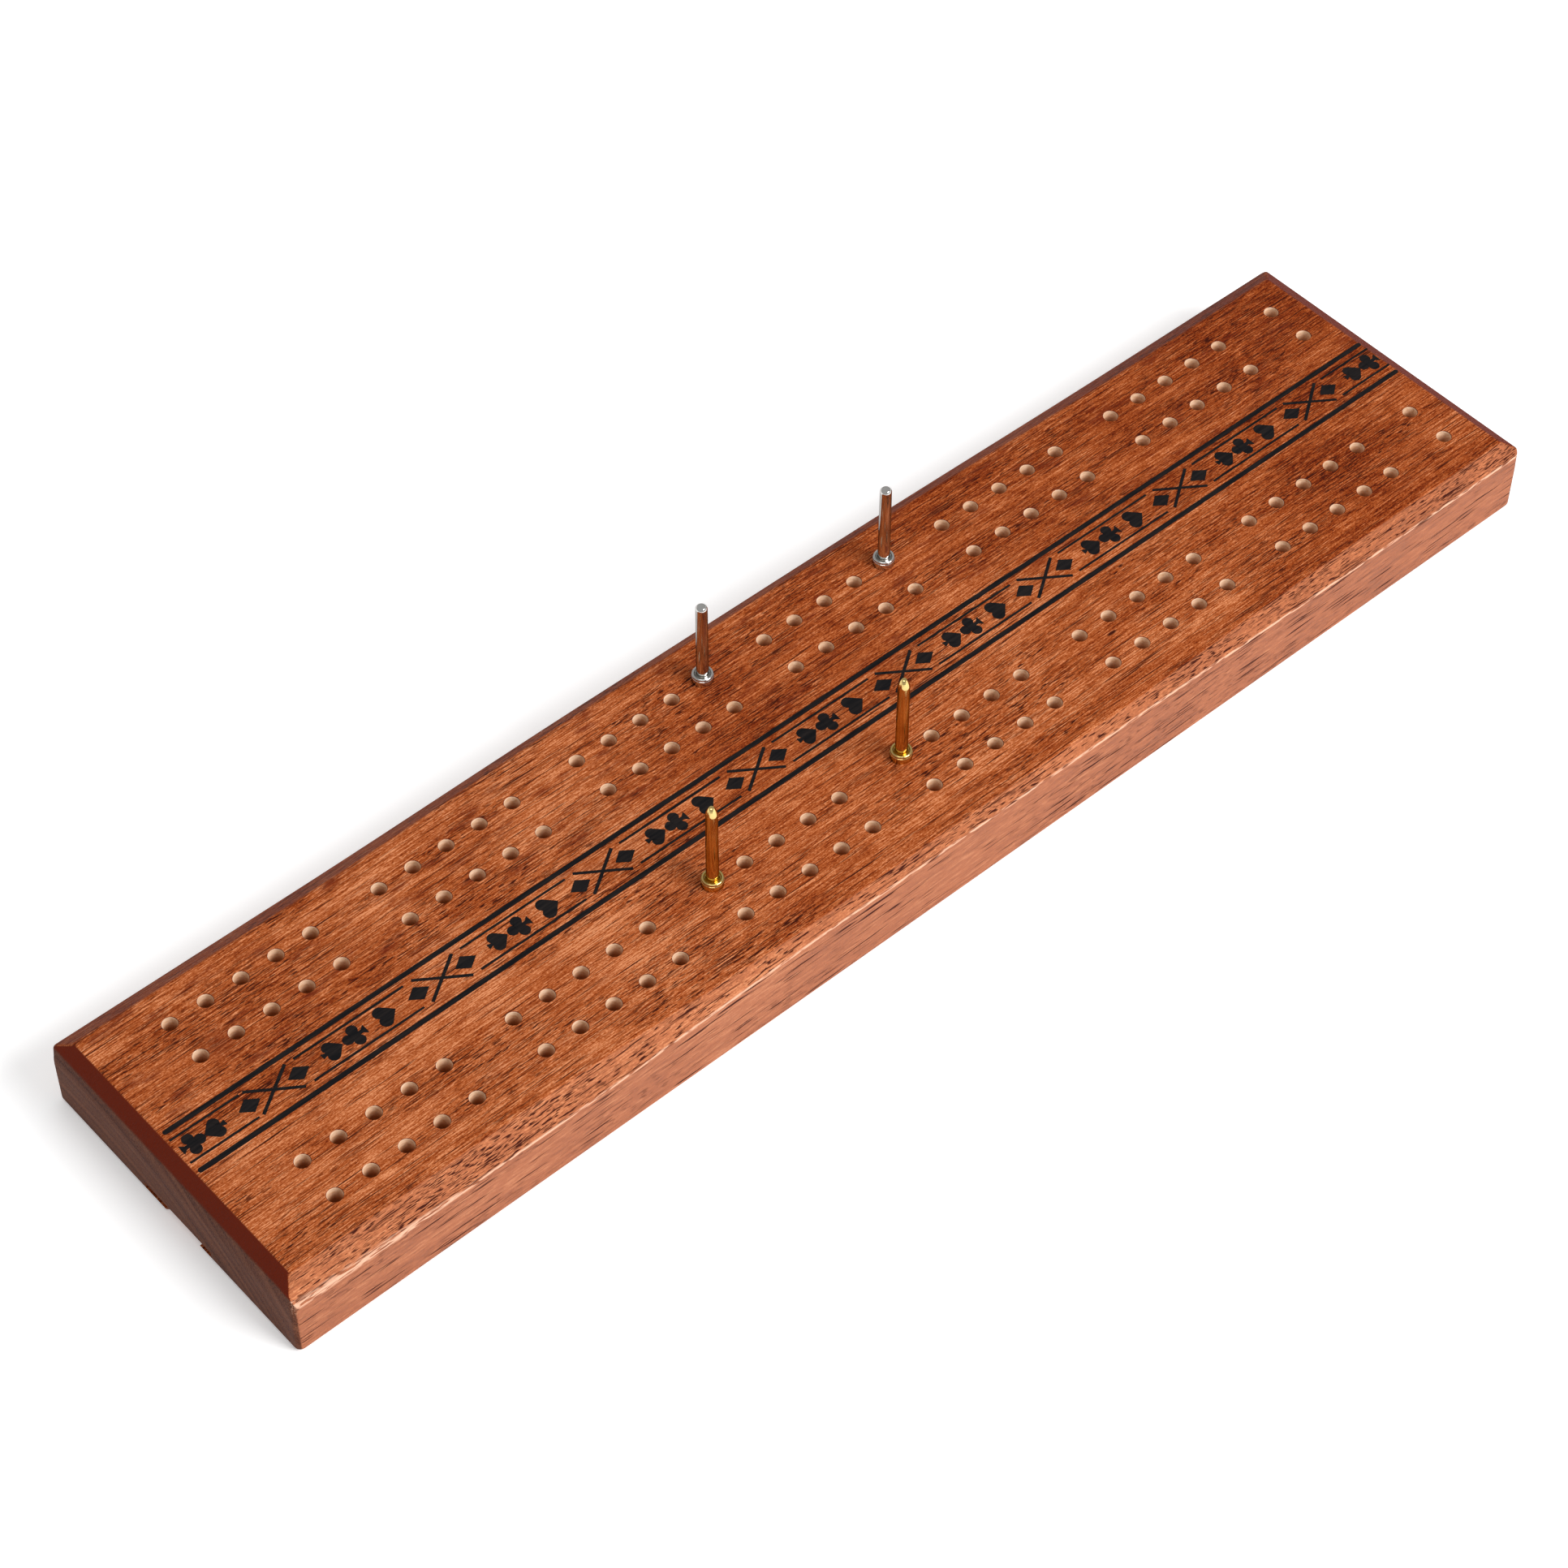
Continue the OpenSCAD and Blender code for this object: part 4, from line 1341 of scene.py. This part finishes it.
def pegOutline(shankDeep, top, tip):
    # from the point of the shank up to the tip, as (radius, height) above the board
    shank, collar, foot, stem = (peg[part] / 2 for part in ("shank", "collar", "stemFoot", "stemTop"))
    bead, high, wall, flare = peg["bead"], peg["collarHigh"], peg["wallHigh"], peg["flare"]
    line = [(0, -shankDeep), (shank - peg["tipIn"], -shankDeep), (shank - 0.08, 0.28 - shankDeep),
            (shank, peg["tipIn"] + 0.2 - shankDeep), (shank, 0.02)]
    line += [(collar - 0.14, 0), (collar - 0.04, 0.05), (collar, 0.14), (collar, wall - 0.05),
             (collar - 0.03, wall), (collar - 0.09, wall + 0.03)]
    beadMiddle = collar - 0.07 - bead
    for i in range(11):                                     # polished bead round the rim
        a = math.radians(-35 + 225 * i / 10)
        line.append((beadMiddle + bead * math.cos(a), high - bead + bead * math.sin(a)))
    hollow = beadMiddle - bead - 0.05
    line += [(hollow, high - bead - 0.16), (hollow - 0.07, high - bead - 0.18)]
    for i in range(9):                                      # hollow up into the stem
        a = -math.pi / 2 - math.pi / 2 * i / 8
        out = (hollow - 0.12 - foot) * (1 + math.cos(a))
        line.append((foot + out, high - 0.42 + flare + flare * math.sin(a)))
    line.append((foot, high + flare + 0.8))
    line += [(stem * share, top - below) for share, below in tip]
    line.append((0, top))
    return line


def makePeg(name, metal, tip):
    pegLow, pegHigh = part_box(name)
    centre = (pegLow + pegHigh) / 2 / mm
    outline = pegOutline(thick - pegLow.z / mm, pegHigh.z / mm - thick, tip)
    vertices, faces = turned(outline, peg["segments"])
    piece = meshPiece(name + "_turned", [Vector(v) * mm for v in vertices], faces)
    piece.location = (centre.x * mm, centre.y * mm, thick * mm)
    piece.data.materials.append(metal)
    smoothFaces(piece, 32)
    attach(piece, name)
    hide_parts(name)
    return piece


nickel = workedMetal("polished nickel", peg["nickel"])
brass = workedMetal("polished brass", peg["brass"])
for name in ("silver_peg_1", "silver_peg_2"):
    makePeg(name, nickel, peg["flatTip"])
for name in ("brass_peg_1", "brass_peg_2"):
    makePeg(name, brass, peg["pinchedTip"])
print("pegs ready")


lid = {
    "bevel": 0.18,                                                   # mm
    "bevelSteps": 3,
    "steel": {"bright": (0.60, 0.60, 0.59), "tarnished": (0.45, 0.45, 0.44), "polish": (0.28, 0.42),
              "edge": (0.9, 0.9, 0.9),
              "marks": (120, 5200, 5200), "smudges": (60, 110, 110), "markDepth": 0.5},
}
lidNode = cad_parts["store_lid"]
lidNode.data.materials.clear()
lidNode.data.materials.append(workedMetal("brushed steel", lid["steel"]))
rounded = lidNode.modifiers.new("deburred edges", "BEVEL")
rounded.width = lid["bevel"] * mm
rounded.segments = lid["bevelSteps"]
rounded.limit_method = "ANGLE"
rounded.angle_limit = math.radians(50)
print("lid ready")
